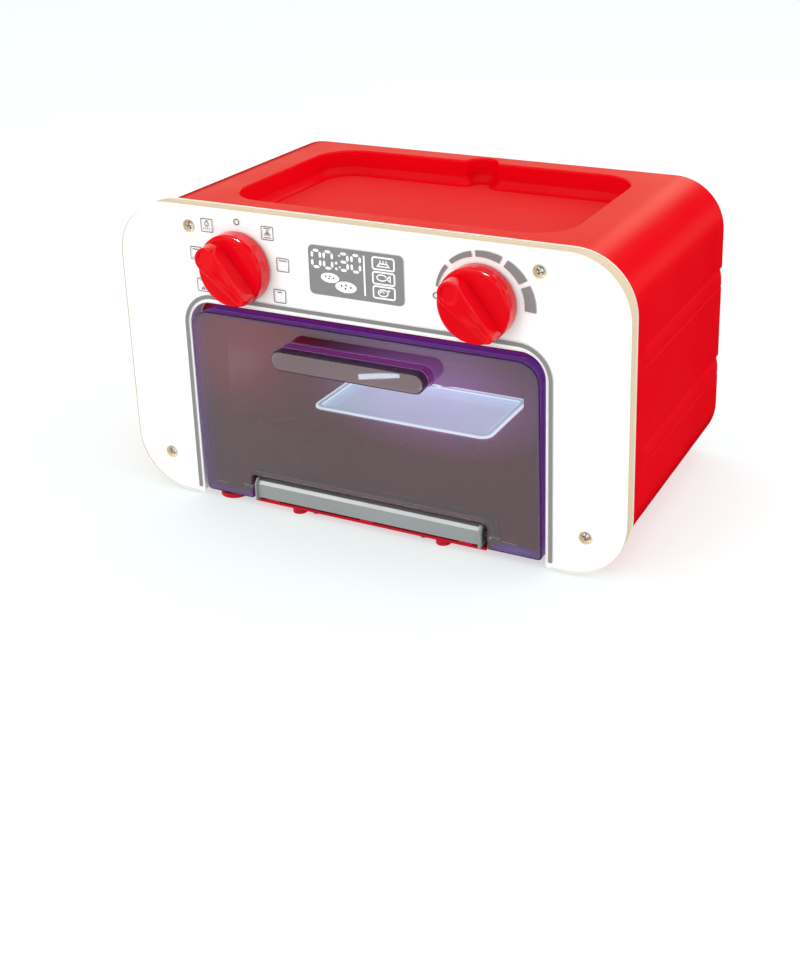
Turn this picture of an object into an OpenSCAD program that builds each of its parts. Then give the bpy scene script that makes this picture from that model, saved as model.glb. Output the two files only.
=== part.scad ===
// Toy oven: painted plywood front, red moulded shell, smoked drop-down door, two knobs.
// Millimetres. X is the width, +Y runs from the front to the back, +Z is up.
// The origin is on the table, under the middle of the whole object's box.

/* [Front panel] */
// Width of the plywood front panel
panel_w = 320; // [300:1:350]
// Height of the front panel
panel_h = 184.3; // [178:0.1:205]
// Thickness of the plywood
panel_t = 11.7; // [10.8:0.1:14]
// Corner radius of the front panel
panel_r = 35; // [28:0.5:42]
// Gap between the panel's lower edge and the table
panel_lift = 1.4; // [1:0.1:2.4]
// Width of the door opening
opening_w = 226.4; // [214:0.2:234]
// Height of the panel's solid part above the door opening
header_h = 58.3; // [56:0.1:64]
// Radius of the opening's two upper corners
opening_r = 14.5; // [8:0.5:20]
// Rounding of the leg's inner corner at the table
leg_r = 2; // [1:0.5:4]

/* [Shell] */
// Step from the panel's edge in to the shell's side and top
shell_inset = 3.4; // [2:0.1:6]
// Depth of the shell behind the panel
shell_depth = 171.3; // [165:0.1:200]
// Wall thickness of the shell
shell_wall = 2.4; // [1.8:0.1:3]
// Height of the shell's underside above the panel's lower edge
shell_lift = 1.9; // [1.5:0.1:3]
// Width of the opening in the shell's underside
hatch_w = 236; // [220:1:244]
// Width of the top recess
recess_w = 216; // [180:1:230]
// Front-to-back length of the top recess
recess_l = 131.7; // [110:0.1:133]
// Distance from the panel's face to the recess
recess_y = 34.5; // [33:0.1:40]
// Depth of the top recess
recess_depth = 16; // [10:0.5:20]
// Corner radius of the recess, seen from above
recess_r = 25; // [15:0.5:35]
// Radius between the recess's wall and floor
recess_fillet = 6; // [3:0.5:8]
// Radius of the finger notch in the back rim of the recess
notch_r = 13.5; // [8:0.5:14]
// Height of a side groove
groove_h = 13.4; // [8:0.2:18]
// Depth of a side groove
groove_depth = 2; // [1:0.1:2.4]
// Distance from the panel's face to the front end of the grooves
groove_y = 35; // [25:0.5:60]
// Heights of the grooves' middles above the panel's lower edge
lower_groove_z = 60.2; // [52:0.1:75]
upper_groove_z = 118.7; // [100:0.1:125]

/* [Cavity] */
// Wall thickness of the inner housing
liner_wall = 2; // [1.5:0.1:2.5]
// Inside width of the oven cavity
cavity_w = 192; // [170:1:206]
// Depth of the oven cavity behind the panel
cavity_depth = 148; // [130:1:158]
// Height of the cavity's floor above the panel's lower edge
cavity_floor = 49; // [46:0.5:56]
// Drop from the door's top edge to the cavity's ceiling
cavity_drop = 2.8; // [1:0.1:8]
// Corner radius of the cavity's mouth
cavity_r = 8; // [3:0.5:12]
// Width of the lit tray in the cavity's floor, over its rim
diffuser_w = 120; // [100:1:124]
// Front-to-back length of the lit tray, over its rim
diffuser_l = 62; // [50:1:70]
// Distance from the panel's face to the lit tray
diffuser_y = 43.7; // [35:0.1:55]
// Depth of the lit tray
diffuser_depth = 4; // [2.5:0.1:5]
// Corner radius of the lit tray
diffuser_r = 7; // [4:0.5:10]

/* [Door] */
// Gap between the door and the opening at each side
door_side_gap = 2.3; // [1.5:0.1:3]
// Gap above the door
door_top_gap = 4.2; // [2:0.1:6]
// Height of the door's lower edge above the panel's lower edge
door_lift = 3.3; // [3:0.1:4]
// Thickness of the door's face
door_face = 2.4; // [2:0.1:3]
// Thickness of the door's rim walls
door_wall = 2; // [1.6:0.1:2.4]
// Radius of the door's upper corners
door_r = 13; // [8:0.5:20]
// How far the door leans out at rest, in degrees
door_ajar = 1.5; // [0:0.1:2.5]
// Length of the handle
handle_w = 97.4; // [80:0.1:120]
// Height of the handle's face
handle_h = 12.4; // [10:0.1:15]
// How far the handle stands out from the door's face
handle_reach = 12.8; // [10:0.1:16]
// Distance from the door's top edge down to the handle's middle
handle_drop = 17.5; // [15:0.1:25]

/* [Hinge] */
// Width of the grey hinge cover
cover_w = 150.4; // [130:0.1:160]
// Height of the hinge cover
cover_h = 13.5; // [13:0.1:14]
// How far the hinge cover stands out from the panel's face
cover_proud = 1.5; // [1:0.1:2]
// Radius of the hinge cover's upper edges
cover_r = 3.2; // [2.8:0.1:4]
// Diameter of the hinge rod
rod_d = 4; // [3:0.1:4.4]
// Distance from the panel's face to the rod's axis
rod_y = 4.6; // [4.4:0.1:4.8]
// Length of each door knuckle on the rod
knuckle_l = 8; // [6:0.5:12]

/* [Knobs] */
// Distance between the two knobs' axes
knob_pitch = 152; // [140:1:158]
// Distance from the panel's top edge down to the knobs' axes
knob_drop = 33.1; // [32:0.1:36]
// Diameter of a knob's disc
knob_d = 42.8; // [36:0.1:46]
// Thickness of a knob's disc
knob_disc_t = 10.2; // [8:0.1:12]
// Height of the grip above the disc
grip_h = 9.5; // [7:0.1:12]
// Diameter of the knobs' shafts
shaft_d = 10; // [8:0.1:12]
// Radial running clearance of the shafts and of the hinge rod
running_gap = 0.06; // [0.02:0.01:0.09]

/* [Base] */
// Thickness of the base plate
base_t = 2; // [1.6:0.1:3]
// Thickness of the tongue under the hinge
tongue_t = 1.6; // [1.4:0.1:1.8]
// Radius of a foot
foot_r = 9; // [6:0.5:12]
// Radius of a small pad under the tongue
pad_r = 4.4; // [3:0.1:4.6]
// Distance between the two pads
pad_pitch = 96; // [70:1:120]

/* [Hidden] */
$fn = 64;

cut = 1;            // how far a cutting tool runs past the face that it cuts
fit_gap = 0.3;      // gap between separate mouldings
thread_gap = 0.05;  // gap between a screw's body and its hole
red = "#e50213";
steel = "#c0c4c8";

// The panel and what is set by its edges.
panel_top = panel_lift + panel_h;
opening_top = panel_top - header_h;
screw_edge_top = 50.6;    // upper panel screws, in from the panel's side
screw_drop = 12.6;        // upper panel screws, down from the panel's top
screw_edge_bottom = 23.6; // lower panel screws, in from the panel's side
screw_rise = 23.3;        // lower panel screws, up from the panel's lower edge
knob_z = panel_top - knob_drop;
knob_x = knob_pitch / 2;

// The shell.
shell_w = panel_w - 2 * shell_inset;
shell_top = panel_top - shell_inset;
shell_bottom = panel_lift + shell_lift;
shell_r = panel_r - shell_inset;
shell_back = panel_t + shell_depth;
recess_floor = shell_top - recess_depth;
recess_back = recess_y + recess_l;

// The door, as it stands when it is shut.
door_w = opening_w - 2 * door_side_gap;
door_top = opening_top - door_top_gap;
door_bottom = panel_lift + door_lift;
door_back_gap = 0.5;
door_t = panel_t - door_back_gap;
door_foot_r = 2.5;        // radius of the door's lower corners
handle_z = door_top - handle_drop;
handle_wall = 2.4;

// The hinge.
tongue_top = shell_bottom + tongue_t;
cover_top = tongue_top + cover_h;
cover_back = panel_t - 0.8;
cover_wall = 1.8;
rod_z = tongue_top + cover_h / 2 - 0.05;
notch_gap = 2.5;          // gap between the hinge cover and the door's notch, at the sides
notch_w = cover_w + 2 * notch_gap;
notch_top = cover_top + 2;
heel_r = rod_z - door_bottom - 0.4;
knuckle_r = rod_d / 2 + 2.2;
rod_half = notch_w / 2 + knuckle_l - 0.5;
cradle_xs = [-64, 0, 64];
cradle_t = 9;
cover_screw_x = 36;
cover_screw_d = 2.5;
cover_block_w = 8;

// The inner housing: a flange behind the whole panel, and the cavity.
flange_t = 2;
flange_back = panel_t + flange_t;
flange_inset = shell_wall + fit_gap;
cavity_floor_z = panel_lift + cavity_floor;
cavity_top = door_top - cavity_drop;
cavity_back = panel_t + cavity_depth;
bush_l = 4;
bush_r = shaft_d / 2 + 2;

// The lit tray.
rim_t = 1;
rim_w = 3;
diffuser_t = 1.6;
diffuser_mid_y = diffuser_y + diffuser_l / 2;
diffuser_floor_z = cavity_floor_z + rim_t - diffuser_depth;

// The light board.
light_board_w = diffuser_w + 18;
light_board_l = diffuser_l - 13;
light_board_t = 1.6;
light_board_top = diffuser_floor_z - diffuser_t - 5.8;
light_post_x = light_board_w / 2 - 4;
light_post_y = light_board_l / 2 - 4;
small_screw_d = 2.2;
small_head_r = 2.1;
small_head_t = 1.4;
led_r = 2.4;
led_pitch = 24;
led_rows = 20;

// The knobs' inner ends.
knob_gap = 0.6;
knob_front = knob_gap + knob_disc_t;
grip_front = knob_front + grip_h;
shaft_end = panel_t + bush_l + fit_gap;
contact_disc_t = 2;
contact_disc_r = 10;
wiper_y = shaft_end + contact_disc_t;
wiper_t = 0.3;
track_t = 0.2;
board_y = wiper_y + 4.5;
board_t = 1.6;
board_h = 32;
board_w = knob_pitch + 40;
board_post_r = 3;
chip_w = 18;
chip_h = 10;
chip_t = 2.4;
capacitor_r = 3;
capacitor_h = 5;
socket_w = 7;
socket_h = 4;
socket_t = 4;
socket_drop = 11;         // the wire sockets' middle, below the knobs' axes
knob_screw_d = 2.6;
grip_wide_r = 8;
grip_wide_u = 12;
grip_tail_r = 4.3;
grip_tail_u = -17;
rest_angle = -45;         // where both grips point at rest, clockwise from straight up

// The base.
base_front = 15.3;
base_gap = fit_gap;
base_w = hatch_w - 2 * base_gap;
hatch_back = shell_back - 8;
base_back = hatch_back - base_gap;
base_top = shell_bottom + base_t;
foot_top = door_bottom - 1.8;
foot_x = 98;
foot_y_left = 11;
foot_y_right = 19;
foot_y_back = shell_back - 25;
pad_y = 5.4;
tongue_w = cover_w + 3;
tongue_front = 1;
post_x = cavity_w / 2 + 4;
post_y_front = 40;
post_y_back = 140;
post_r = 4.5;
post_joint_z = 30;
post_seat_z = 21;
post_web_t = 2;
screw_d = 3;
screw_head_r = 2.9;

// The speaker, face down on the base.
speaker_x = -70;
speaker_y = 92;
speaker_r = 20;
speaker_seat = 2;
speaker_z = base_top + speaker_seat;
speaker_flange_t = 1.5;
speaker_boss_r = speaker_r + 4;
magnet_r = 11;
magnet_h = 6;
basket_h = 7;
cone_h = 5.2;
cone_t = 0.4;
coil_r = 7;
washer_r = 5.5;
washer_t = 0.8;

// The battery box: three AAA cells side by side, lying along X.
cell_r = 5.15;
cell_l = 43.5;
cell_pitch = 11.5;
cell_nub = 1;
pocket_w = cell_l + cell_nub + 5;
pocket_l = 3 * cell_pitch + 1.5;
pocket_h = 2 * cell_r + 2.7;
pocket_y = 110;
lid_t = 1.8;
lid_lip = 2;
lid_tail = 10;
lid_w = pocket_w + 2 * lid_lip - 2 * fit_gap;
lid_l = pocket_l + lid_lip + lid_tail - 2 * fit_gap;
lid_y = pocket_y + (lid_tail - lid_lip) / 2;
lid_top = shell_bottom + lid_t;
lid_screw_y = pocket_y + pocket_l / 2 + 5.5;
pocket_top = lid_top + pocket_h;
cell_z = lid_top + cell_r + 0.6;

// Everything is drawn from the panel's face, then moved so that the origin is in the middle.
face_y = (grip_front - shell_back) / 2;
module place() translate([0, face_y, 0]) children();

// A 2D shape drawn in X and Z, as a plate that starts at y and is t thick.
module slab(y, t) translate([0, y + t, 0]) rotate([90, 0, 0]) linear_extrude(t) children();

// A 2D shape drawn in Y and Z, as a bar along X from x to x + l.
module bar(x, l)
    translate([x, 0, 0]) rotate([90, 0, 90]) linear_extrude(l) children();

// A cylinder along Y that starts at y and is l long, round a centre in X and Z.
module rod_y(x, z, y, l, r) translate([x, y + l, z]) rotate([90, 0, 0]) cylinder(h = l, r = r);

// A rectangle with round corners, between two heights.
module round_rect(w, z0, z1, r) {
    translate([-w / 2 + r, z0]) square([w - 2 * r, z1 - z0]);
    translate([-w / 2, z0 + r]) square([w, z1 - z0 - 2 * r]);
    for (x = [-1, 1], z = [z0 + r, z1 - r])
        translate([x * (w / 2 - r), z]) circle(r);
}

// A rectangle whose upper corners are round.
module arch(w, z0, z1, r) {
    translate([-w / 2 + r, z0]) square([w - 2 * r, z1 - z0]);
    translate([-w / 2, z0]) square([w, z1 - z0 - r]);
    for (x = [-1, 1]) translate([x * (w / 2 - r), z1 - r]) circle(r);
}

module at_panel_screws() {
    for (s = [-1, 1]) {
        translate([s * (panel_w / 2 - screw_edge_top), 0, panel_top - screw_drop]) children();
        translate([s * (panel_w / 2 - screw_edge_bottom), 0, panel_lift + screw_rise]) children();
    }
}

panel_screw_d = 3.4;
panel_head_r = 2.9;
panel_head_t = 2.2;
counterbore_r = 3.65;
counterbore_depth = 3.2;
panel_boss_l = 19;
panel_screw_tip = flange_back + 15;

// ---- Front panel -------------------------------------------------------------------------

module front_panel() place() color("white")
    difference() {
        slab(0, panel_t) panel_outline();
        for (s = [-1, 1])
            rod_y(s * knob_x, knob_z, -cut, panel_t + 2 * cut, shaft_d / 2 + fit_gap);
        at_panel_screws() {
            rod_y(0, 0, -cut, panel_t + 2 * cut, panel_screw_d / 2 + fit_gap);
            rod_y(0, 0, -cut, counterbore_depth + cut, counterbore_r);
        }
    }

module panel_outline()
    difference() {
        round_rect(panel_w, panel_lift, panel_top, panel_r);
        arch(opening_w, panel_lift - cut, opening_top, opening_r);
        for (s = [-1, 1])
            translate([s * (opening_w / 2 + leg_r / 2), panel_lift + leg_r / 2])
                difference() {
                    square(leg_r, center = true);
                    translate([s * leg_r / 2, leg_r / 2]) circle(leg_r);
                }
    }

module panel_screws() place() color(steel)
    at_panel_screws() {
        difference() {
            rod_y(0, 0, counterbore_depth - panel_head_t, panel_head_t, panel_head_r);
            cross_socket(counterbore_depth - panel_head_t);
        }
        rod_y(0, 0, counterbore_depth, panel_screw_tip - counterbore_depth, panel_screw_d / 2);
    }

// The cross in a screw's head, sunk from y.
module cross_socket(y)
    for (turn = [0, 90])
        translate([0, y, 0]) rotate([0, turn, 0])
            translate([-1.7, -cut, -0.4]) cube([3.4, cut + 1.3, 0.8]);

// ---- Shell -------------------------------------------------------------------------------

module outer_shell() place() color(red)
    difference() {
        union() {
            difference() {
                slab(panel_t, shell_depth) shell_outline(0);
                difference() {
                    slab(panel_t - cut, shell_depth - shell_wall + cut) shell_outline(shell_wall);
                    groove_backs();
                    recess_tub();
                }
            }
            intersection() {
                slab(flange_back, panel_boss_l) shell_outline(shell_wall / 2);
                panel_bosses();
            }
        }
        translate([-hatch_w / 2, panel_t - cut, shell_bottom - cut])
            cube([hatch_w, hatch_back - panel_t + cut, shell_wall + 2 * cut]);
        recess_well();
        grooves();
        at_panel_screws()
            rod_y(0, 0, flange_back - cut, panel_boss_l - 2 + cut, panel_screw_d / 2 + thread_gap);
    }

module shell_outline(inset)
    round_rect(shell_w - 2 * inset, shell_bottom + inset, shell_top - inset, shell_r - inset);

// The recess: straight walls, with a quarter-round fillet all round its floor.
module recess_well() translate([0, recess_y + recess_l / 2, recess_floor]) {
    wall_h = recess_depth - recess_fillet + cut;
    translate([0, 0, recess_fillet]) plan_block(recess_w, recess_l, recess_r, wall_h);
    plan_block(recess_w - 2 * recess_fillet, recess_l - 2 * recess_fillet,
        recess_r - recess_fillet, recess_depth);
    for (s = [-1, 1]) {
        translate([-(recess_w / 2 - recess_r), s * (recess_l / 2 - recess_fillet), recess_fillet])
            rotate([0, 90, 0]) cylinder(h = recess_w - 2 * recess_r, r = recess_fillet);
        translate([s * (recess_w / 2 - recess_fillet), recess_l / 2 - recess_r, recess_fillet])
            rotate([90, 0, 0]) cylinder(h = recess_l - 2 * recess_r, r = recess_fillet);
    }
    for (x = [-1, 1], y = [-1, 1])
        translate([x * (recess_w / 2 - recess_r), y * (recess_l / 2 - recess_r), recess_fillet])
            rotate_extrude() translate([recess_r - recess_fillet, 0]) round_side();
    translate([0, recess_l / 2, 0]) cylinder(h = recess_depth + cut, r = notch_r);
}

// Half of a circle, on the side away from the axis.
module round_side()
    intersection() {
        circle(recess_fillet);
        translate([0, -recess_fillet]) square([recess_fillet, 2 * recess_fillet]);
    }

// A block with round upright corners, centred in X and Y.
module plan_block(w, l, r, h)
    linear_extrude(h) round_rect(w, -l / 2, l / 2, r);

// What holds the recess up: its walls and floor, from below.
module recess_tub() {
    tub_z = recess_floor - shell_wall;
    translate([0, recess_y + recess_l / 2, tub_z])
        plan_block(recess_w + 2 * shell_wall, recess_l + 2 * shell_wall,
            recess_r + shell_wall, shell_top - tub_z);
    translate([0, recess_back, tub_z])
        cylinder(h = shell_top - tub_z, r = notch_r + shell_wall);
}

module at_grooves()
    for (z = [lower_groove_z, upper_groove_z], s = [0, 1])
        mirror([s, 0, 0]) translate([shell_w / 2, 0, panel_lift + z]) children();

module grooves()
    at_grooves()
        translate([-groove_depth, groove_y, -groove_h / 2])
            cube([groove_depth + cut, shell_back - groove_y + cut, groove_h]);

// The wall behind each groove, which keeps the shell's thickness.
module groove_backs()
    at_grooves()
        translate([-groove_depth - shell_wall, groove_y - shell_wall, -groove_h / 2 - shell_wall])
            cube([groove_depth + shell_wall, shell_back - groove_y, groove_h + 2 * shell_wall]);

// Screw bosses, each with a web to the nearest wall.
module panel_bosses() {
    boss_r = panel_screw_d / 2 + 2.6;
    corner_x = shell_w / 2 - shell_r;
    corner_z = shell_bottom + shell_r;
    low_x = panel_w / 2 - screw_edge_bottom;
    low_z = panel_lift + screw_rise;
    low_turn = atan2(low_z - corner_z, low_x - corner_x);
    at_panel_screws() rod_y(0, 0, flange_back, panel_boss_l, boss_r);
    for (s = [0, 1]) mirror([s, 0, 0]) {
        translate([panel_w / 2 - screw_edge_top - shell_wall / 2, flange_back,
                panel_top - screw_drop])
            cube([shell_wall, panel_boss_l, shell_top]);
        translate([low_x, 0, low_z]) rotate([0, -low_turn, 0])
            translate([0, flange_back, -shell_wall / 2])
                cube([shell_r, panel_boss_l, shell_wall]);
    }
}

// ---- Inner housing -----------------------------------------------------------------------

module inner_housing() place() color("#b00012")
    difference() {
        union() {
            slab(panel_t, flange_t) shell_outline(flange_inset);
            slab(panel_t, cavity_depth + liner_wall) cavity_outline(liner_wall);
            for (s = [-1, 1]) rod_y(s * knob_x, knob_z, panel_t, bush_l, bush_r);
            at_board_posts() rod_y(0, 0, flange_back, board_y - flange_back, board_post_r);
            at_base_posts()
                translate([0, 0, post_joint_z])
                    cylinder(h = cavity_floor_z - liner_wall - post_joint_z, r = post_r);
            post_webs();
            at_light_posts()
                translate([0, 0, light_board_top])
                    cylinder(h = cavity_floor_z - light_board_top - liner_wall, r = 3);
        }
        slab(panel_t - cut, cavity_depth + cut) cavity_outline(0);
        for (s = [-1, 1])
            rod_y(s * knob_x, knob_z, panel_t - cut, bush_l + 2 * cut, shaft_d / 2 + running_gap);
        at_panel_screws()
            rod_y(0, 0, panel_t - cut, flange_t + 2 * cut, panel_screw_d / 2 + fit_gap);
        at_board_posts() rod_y(0, 0, board_y - 6, 6 + cut, small_screw_d / 2 + thread_gap);
        at_base_posts()
            translate([0, 0, post_joint_z - cut])
                cylinder(h = 13 + cut, r = screw_d / 2 + thread_gap);
        at_light_posts()
            translate([0, 0, light_board_top - cut])
                cylinder(h = 5 + cut, r = small_screw_d / 2 + thread_gap);
        translate([0, diffuser_mid_y, cavity_floor_z - liner_wall - cut])
            plan_block(diffuser_w - 2 * rim_w + 2 * fit_gap, diffuser_l - 2 * rim_w + 2 * fit_gap,
                diffuser_r - rim_w + fit_gap, liner_wall + 2 * cut);
    }

module cavity_outline(grow)
    round_rect(cavity_w + 2 * grow, cavity_floor_z - grow, cavity_top + grow, cavity_r + grow);

module at_board_posts()
    for (x = [-1, 1], z = [-1, 1])
        translate([x * (board_w / 2 - 5), 0, knob_z + z * (board_h / 2 - 4)]) children();

module at_base_posts()
    for (s = [-1, 1], y = [post_y_front, post_y_back]) translate([s * post_x, y, 0]) children();

// The posts stand beside the cavity, on webs from its side walls.
module post_webs()
    for (s = [0, 1], y = [post_y_front, post_y_back])
        mirror([s, 0, 0])
            translate([cavity_w / 2, y - post_web_t / 2, post_joint_z]) {
                cube([post_x - cavity_w / 2 + 1, post_web_t,
                    cavity_floor_z - post_joint_z + 1.5 * cavity_r]);
                translate([-1.5 * cavity_r, 0, 0])
                    cube([1.5 * cavity_r + liner_wall, post_web_t,
                        cavity_floor_z - post_joint_z - liner_wall / 2]);
            }

module at_light_posts()
    for (x = [-1, 1], y = [-1, 1])
        translate([x * light_post_x, diffuser_mid_y + y * light_post_y, 0]) children();

module light_diffuser() place() color("#e8ecff")
    translate([0, diffuser_mid_y, 0]) difference() {
        union() {
            translate([0, 0, cavity_floor_z])
                plan_block(diffuser_w, diffuser_l, diffuser_r, rim_t);
            translate([0, 0, diffuser_floor_z - diffuser_t])
                plan_block(diffuser_w - 2 * rim_w, diffuser_l - 2 * rim_w, diffuser_r - rim_w,
                    diffuser_depth + diffuser_t);
        }
        translate([0, 0, diffuser_floor_z])
            plan_block(diffuser_w - 2 * rim_w - 2 * diffuser_t,
                diffuser_l - 2 * rim_w - 2 * diffuser_t,
                diffuser_r - rim_w - diffuser_t, diffuser_depth + cut);
    }

// ---- Light board -------------------------------------------------------------------------

module light_board() place() color("#2c6b3c")
    difference() {
        translate([0, diffuser_mid_y, light_board_top - light_board_t])
            plan_block(light_board_w, light_board_l, 2, light_board_t);
        at_light_posts()
            translate([0, 0, light_board_top - light_board_t - cut])
                cylinder(h = light_board_t + 2 * cut, r = small_screw_d / 2 + fit_gap);
    }

module leds() place() color("#f4f4ff")
    for (x = [-1.5, -0.5, 0.5, 1.5], y = [-0.5, 0.5])
        translate([x * led_pitch, diffuser_mid_y + y * led_rows, light_board_top]) {
            cylinder(h = led_r, r = led_r);
            translate([0, 0, led_r]) sphere(r = led_r);
        }

module light_board_screws() place() color(steel)
    at_light_posts()
        translate([0, 0, light_board_top - light_board_t]) {
            cylinder(h = light_board_t + 4.5, r = small_screw_d / 2);
            translate([0, 0, -small_head_t]) cylinder(h = small_head_t, r = small_head_r);
        }

// ---- Base --------------------------------------------------------------------------------

module base_plate() place() color(red)
    difference() {
        union() {
            translate([-base_w / 2, base_front, shell_bottom])
                cube([base_w, base_back - base_front, base_t]);
            translate([-tongue_w / 2, tongue_front, shell_bottom])
                cube([tongue_w, base_front - tongue_front + cut, tongue_t]);
            for (s = [-1, 1]) translate([s * pad_pitch / 2, pad_y, 0])
                cylinder(h = shell_bottom, r = pad_r);
            front_foot(-foot_x, foot_y_left);
            front_foot(foot_x, foot_y_right);
            for (s = [-1, 1]) translate([s * foot_x, foot_y_back, 0])
                cylinder(h = base_top, r = foot_r);
            cradles();
            at_base_posts() translate([0, 0, shell_bottom])
                cylinder(h = post_joint_z - shell_bottom, r = post_r);
            speaker_seat_ring();
            battery_box();
        }
        at_base_posts() {
            translate([0, 0, -cut])
                cylinder(h = post_seat_z + cut, r = screw_head_r + fit_gap);
            cylinder(h = post_joint_z + cut, r = screw_d / 2 + thread_gap);
        }
        for (s = [-1, 1]) translate([s * cover_screw_x, rod_y, -cut])
            cylinder(h = tongue_top + 2 * cut, r = cover_screw_d / 2 + fit_gap);
        speaker_holes();
        battery_hollow();
    }

// A front foot: low under the door's swing, and joined to the plate behind it.
module front_foot(x, y) {
    translate([x, y, 0]) cylinder(h = foot_top, r = foot_r);
    intersection() {
        translate([x, y, 0]) cylinder(h = base_top, r = foot_r);
        translate([x - foot_r, base_front, 0]) cube([2 * foot_r, 3 * foot_r, base_top]);
    }
}

// Cradles for the hinge rod, open at the top so that the rod drops in.
module cradles()
    for (x = cradle_xs)
        bar(x - cradle_t / 2, cradle_t) difference() {
            translate([rod_y - 3.8, tongue_top - 0.5]) square([7.6, rod_z + 1.2 - tongue_top + 0.5]);
            translate([rod_y, rod_z]) circle(rod_d / 2 + thread_gap);
            translate([rod_y - rod_d / 2 - thread_gap, rod_z])
                square([rod_d + 2 * thread_gap, rod_d]);
        }

module speaker_seat_ring() translate([speaker_x, speaker_y, base_top]) {
    difference() {
        union() {
            cylinder(h = speaker_seat, r = speaker_r);
            cylinder(h = speaker_seat + 1, r = speaker_r + 2);
        }
        translate([0, 0, speaker_seat]) cylinder(h = 4, r = speaker_r + fit_gap);
        translate([0, 0, -cut]) cylinder(h = speaker_seat + 2 * cut, r = speaker_r - 3);
    }
    for (turn = [0, 120, 240]) rotate(turn) translate([speaker_boss_r, 0, 0])
        difference() {
            cylinder(h = speaker_seat + speaker_flange_t, r = 3.2);
            translate([0, 0, 0.5 - speaker_flange_t])
                cylinder(h = speaker_seat + 2 * speaker_flange_t, r = small_screw_d / 2 + thread_gap);
        }
}

// The sound holes: one in the middle, with two rings round it.
module speaker_holes() translate([speaker_x, speaker_y, shell_bottom - cut]) {
    cylinder(h = base_t + 2 * cut, r = 1.5);
    for (ring = [1, 2], i = [0 : 6 * ring - 1])
        rotate(i * 60 / ring) translate([6 * ring, 0, 0]) cylinder(h = base_t + 2 * cut, r = 1.5);
}

module battery_box() {
    translate([-pocket_w / 2 - base_t, pocket_y - pocket_l / 2 - base_t, shell_bottom])
        cube([pocket_w + 2 * base_t, pocket_l + 2 * base_t, pocket_top + base_t - shell_bottom]);
    translate([-lid_w / 2 - fit_gap - base_t, lid_y - lid_l / 2 - fit_gap - base_t, shell_bottom])
        cube([lid_w + 2 * fit_gap + 2 * base_t, lid_l + 2 * fit_gap + 2 * base_t, lid_t + base_t]);
    translate([0, lid_screw_y, lid_top]) cylinder(h = 12, r = 4);
}

module battery_hollow() {
    translate([-pocket_w / 2, pocket_y - pocket_l / 2, shell_bottom - cut])
        cube([pocket_w, pocket_l, pocket_top - shell_bottom + cut]);
    translate([-lid_w / 2 - fit_gap, lid_y - lid_l / 2 - fit_gap, shell_bottom - cut])
        cube([lid_w + 2 * fit_gap, lid_l + 2 * fit_gap, lid_t + cut]);
    translate([0, lid_screw_y, lid_top - cut])
        cylinder(h = 10 + cut, r = knob_screw_d / 2 + thread_gap);
}

module base_screws() place() color(steel)
    at_base_posts() {
        translate([0, 0, post_seat_z - 2.2]) cylinder(h = 2.2, r = screw_head_r);
        translate([0, 0, post_seat_z]) cylinder(h = post_joint_z + 11 - post_seat_z, r = screw_d / 2);
    }

module battery_cover() place() color(red)
    difference() {
        translate([-lid_w / 2, lid_y - lid_l / 2, shell_bottom]) cube([lid_w, lid_l, lid_t]);
        translate([0, lid_screw_y, shell_bottom - cut])
            cylinder(h = lid_t + 2 * cut, r = knob_screw_d / 2 + fit_gap);
        for (x = [-12 : 4 : 12])
            translate([x, lid_y - lid_l / 2 + 8, shell_bottom - cut])
                translate([-0.8, 0, 0]) cube([1.6, 12, cut + 0.6]);
    }

module battery_cover_screw() place() color(steel)
    translate([0, lid_screw_y, 0]) {
        translate([0, 0, shell_bottom - 1.4]) cylinder(h = 1.4, r = 2.4);
        translate([0, 0, shell_bottom]) cylinder(h = lid_t + 8, r = knob_screw_d / 2);
    }

module at_cells()
    for (i = [-1, 0, 1])
        translate([0, pocket_y + i * cell_pitch, cell_z])
            mirror([i == 0 ? 1 : 0, 0, 0]) children();

module batteries() place() color("#3a3f46")
    at_cells() {
        translate([-cell_l / 2 - cell_nub / 2, 0, 0]) rotate([0, 90, 0])
            cylinder(h = cell_l, r = cell_r);
        translate([cell_l / 2 - cell_nub / 2, 0, 0]) rotate([0, 90, 0])
            cylinder(h = cell_nub, r = 1.9);
    }

// Bent strips of sprung sheet at both ends of each cell.
module battery_contacts() place() color("#d8d3c4")
    at_cells()
        for (s = [0, 1]) mirror([s, 0, 0]) {
            translate([pocket_w / 2 - 0.4, -4, -4.5]) cube([0.4, 8, 9]);
            translate([pocket_w / 2 - 0.4, 0, 0]) rotate([0, -90, 0])
                cylinder(h = (pocket_w - cell_l - cell_nub) / 2 - 0.5, r1 = 3, r2 = 1.5);
        }

// ---- Speaker -----------------------------------------------------------------------------

module speaker_frame() place() color("#3c3c40")
    translate([speaker_x, speaker_y, speaker_z]) rotate_extrude() polygon([
        [speaker_r - 3, 0], [speaker_r, 0], [speaker_r, speaker_flange_t],
        [speaker_r - 2, speaker_flange_t], [magnet_r, speaker_flange_t + basket_h],
        [magnet_r, speaker_flange_t + basket_h + magnet_h],
        [0, speaker_flange_t + basket_h + magnet_h], [0, speaker_flange_t + basket_h - 1],
        [magnet_r - 2, speaker_flange_t + basket_h - 1], [speaker_r - 5, 1], [speaker_r - 3, 1]]);

module speaker_cone() place() color("#202022")
    translate([speaker_x, speaker_y, speaker_z]) rotate_extrude() polygon([
        [speaker_r - 6, 1 - cone_t], [speaker_r - 3.2, 1 - cone_t], [speaker_r - 3.2, 1],
        [speaker_r - 5.6, 1], [coil_r, cone_h + cone_t], [0.6 * coil_r, cone_h / 2 + cone_t],
        [0, cone_h / 4 + cone_t], [0, cone_h / 4], [0.65 * coil_r, cone_h / 2 - cone_t],
        [coil_r, cone_h - 1.5 * cone_t]]);

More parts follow.
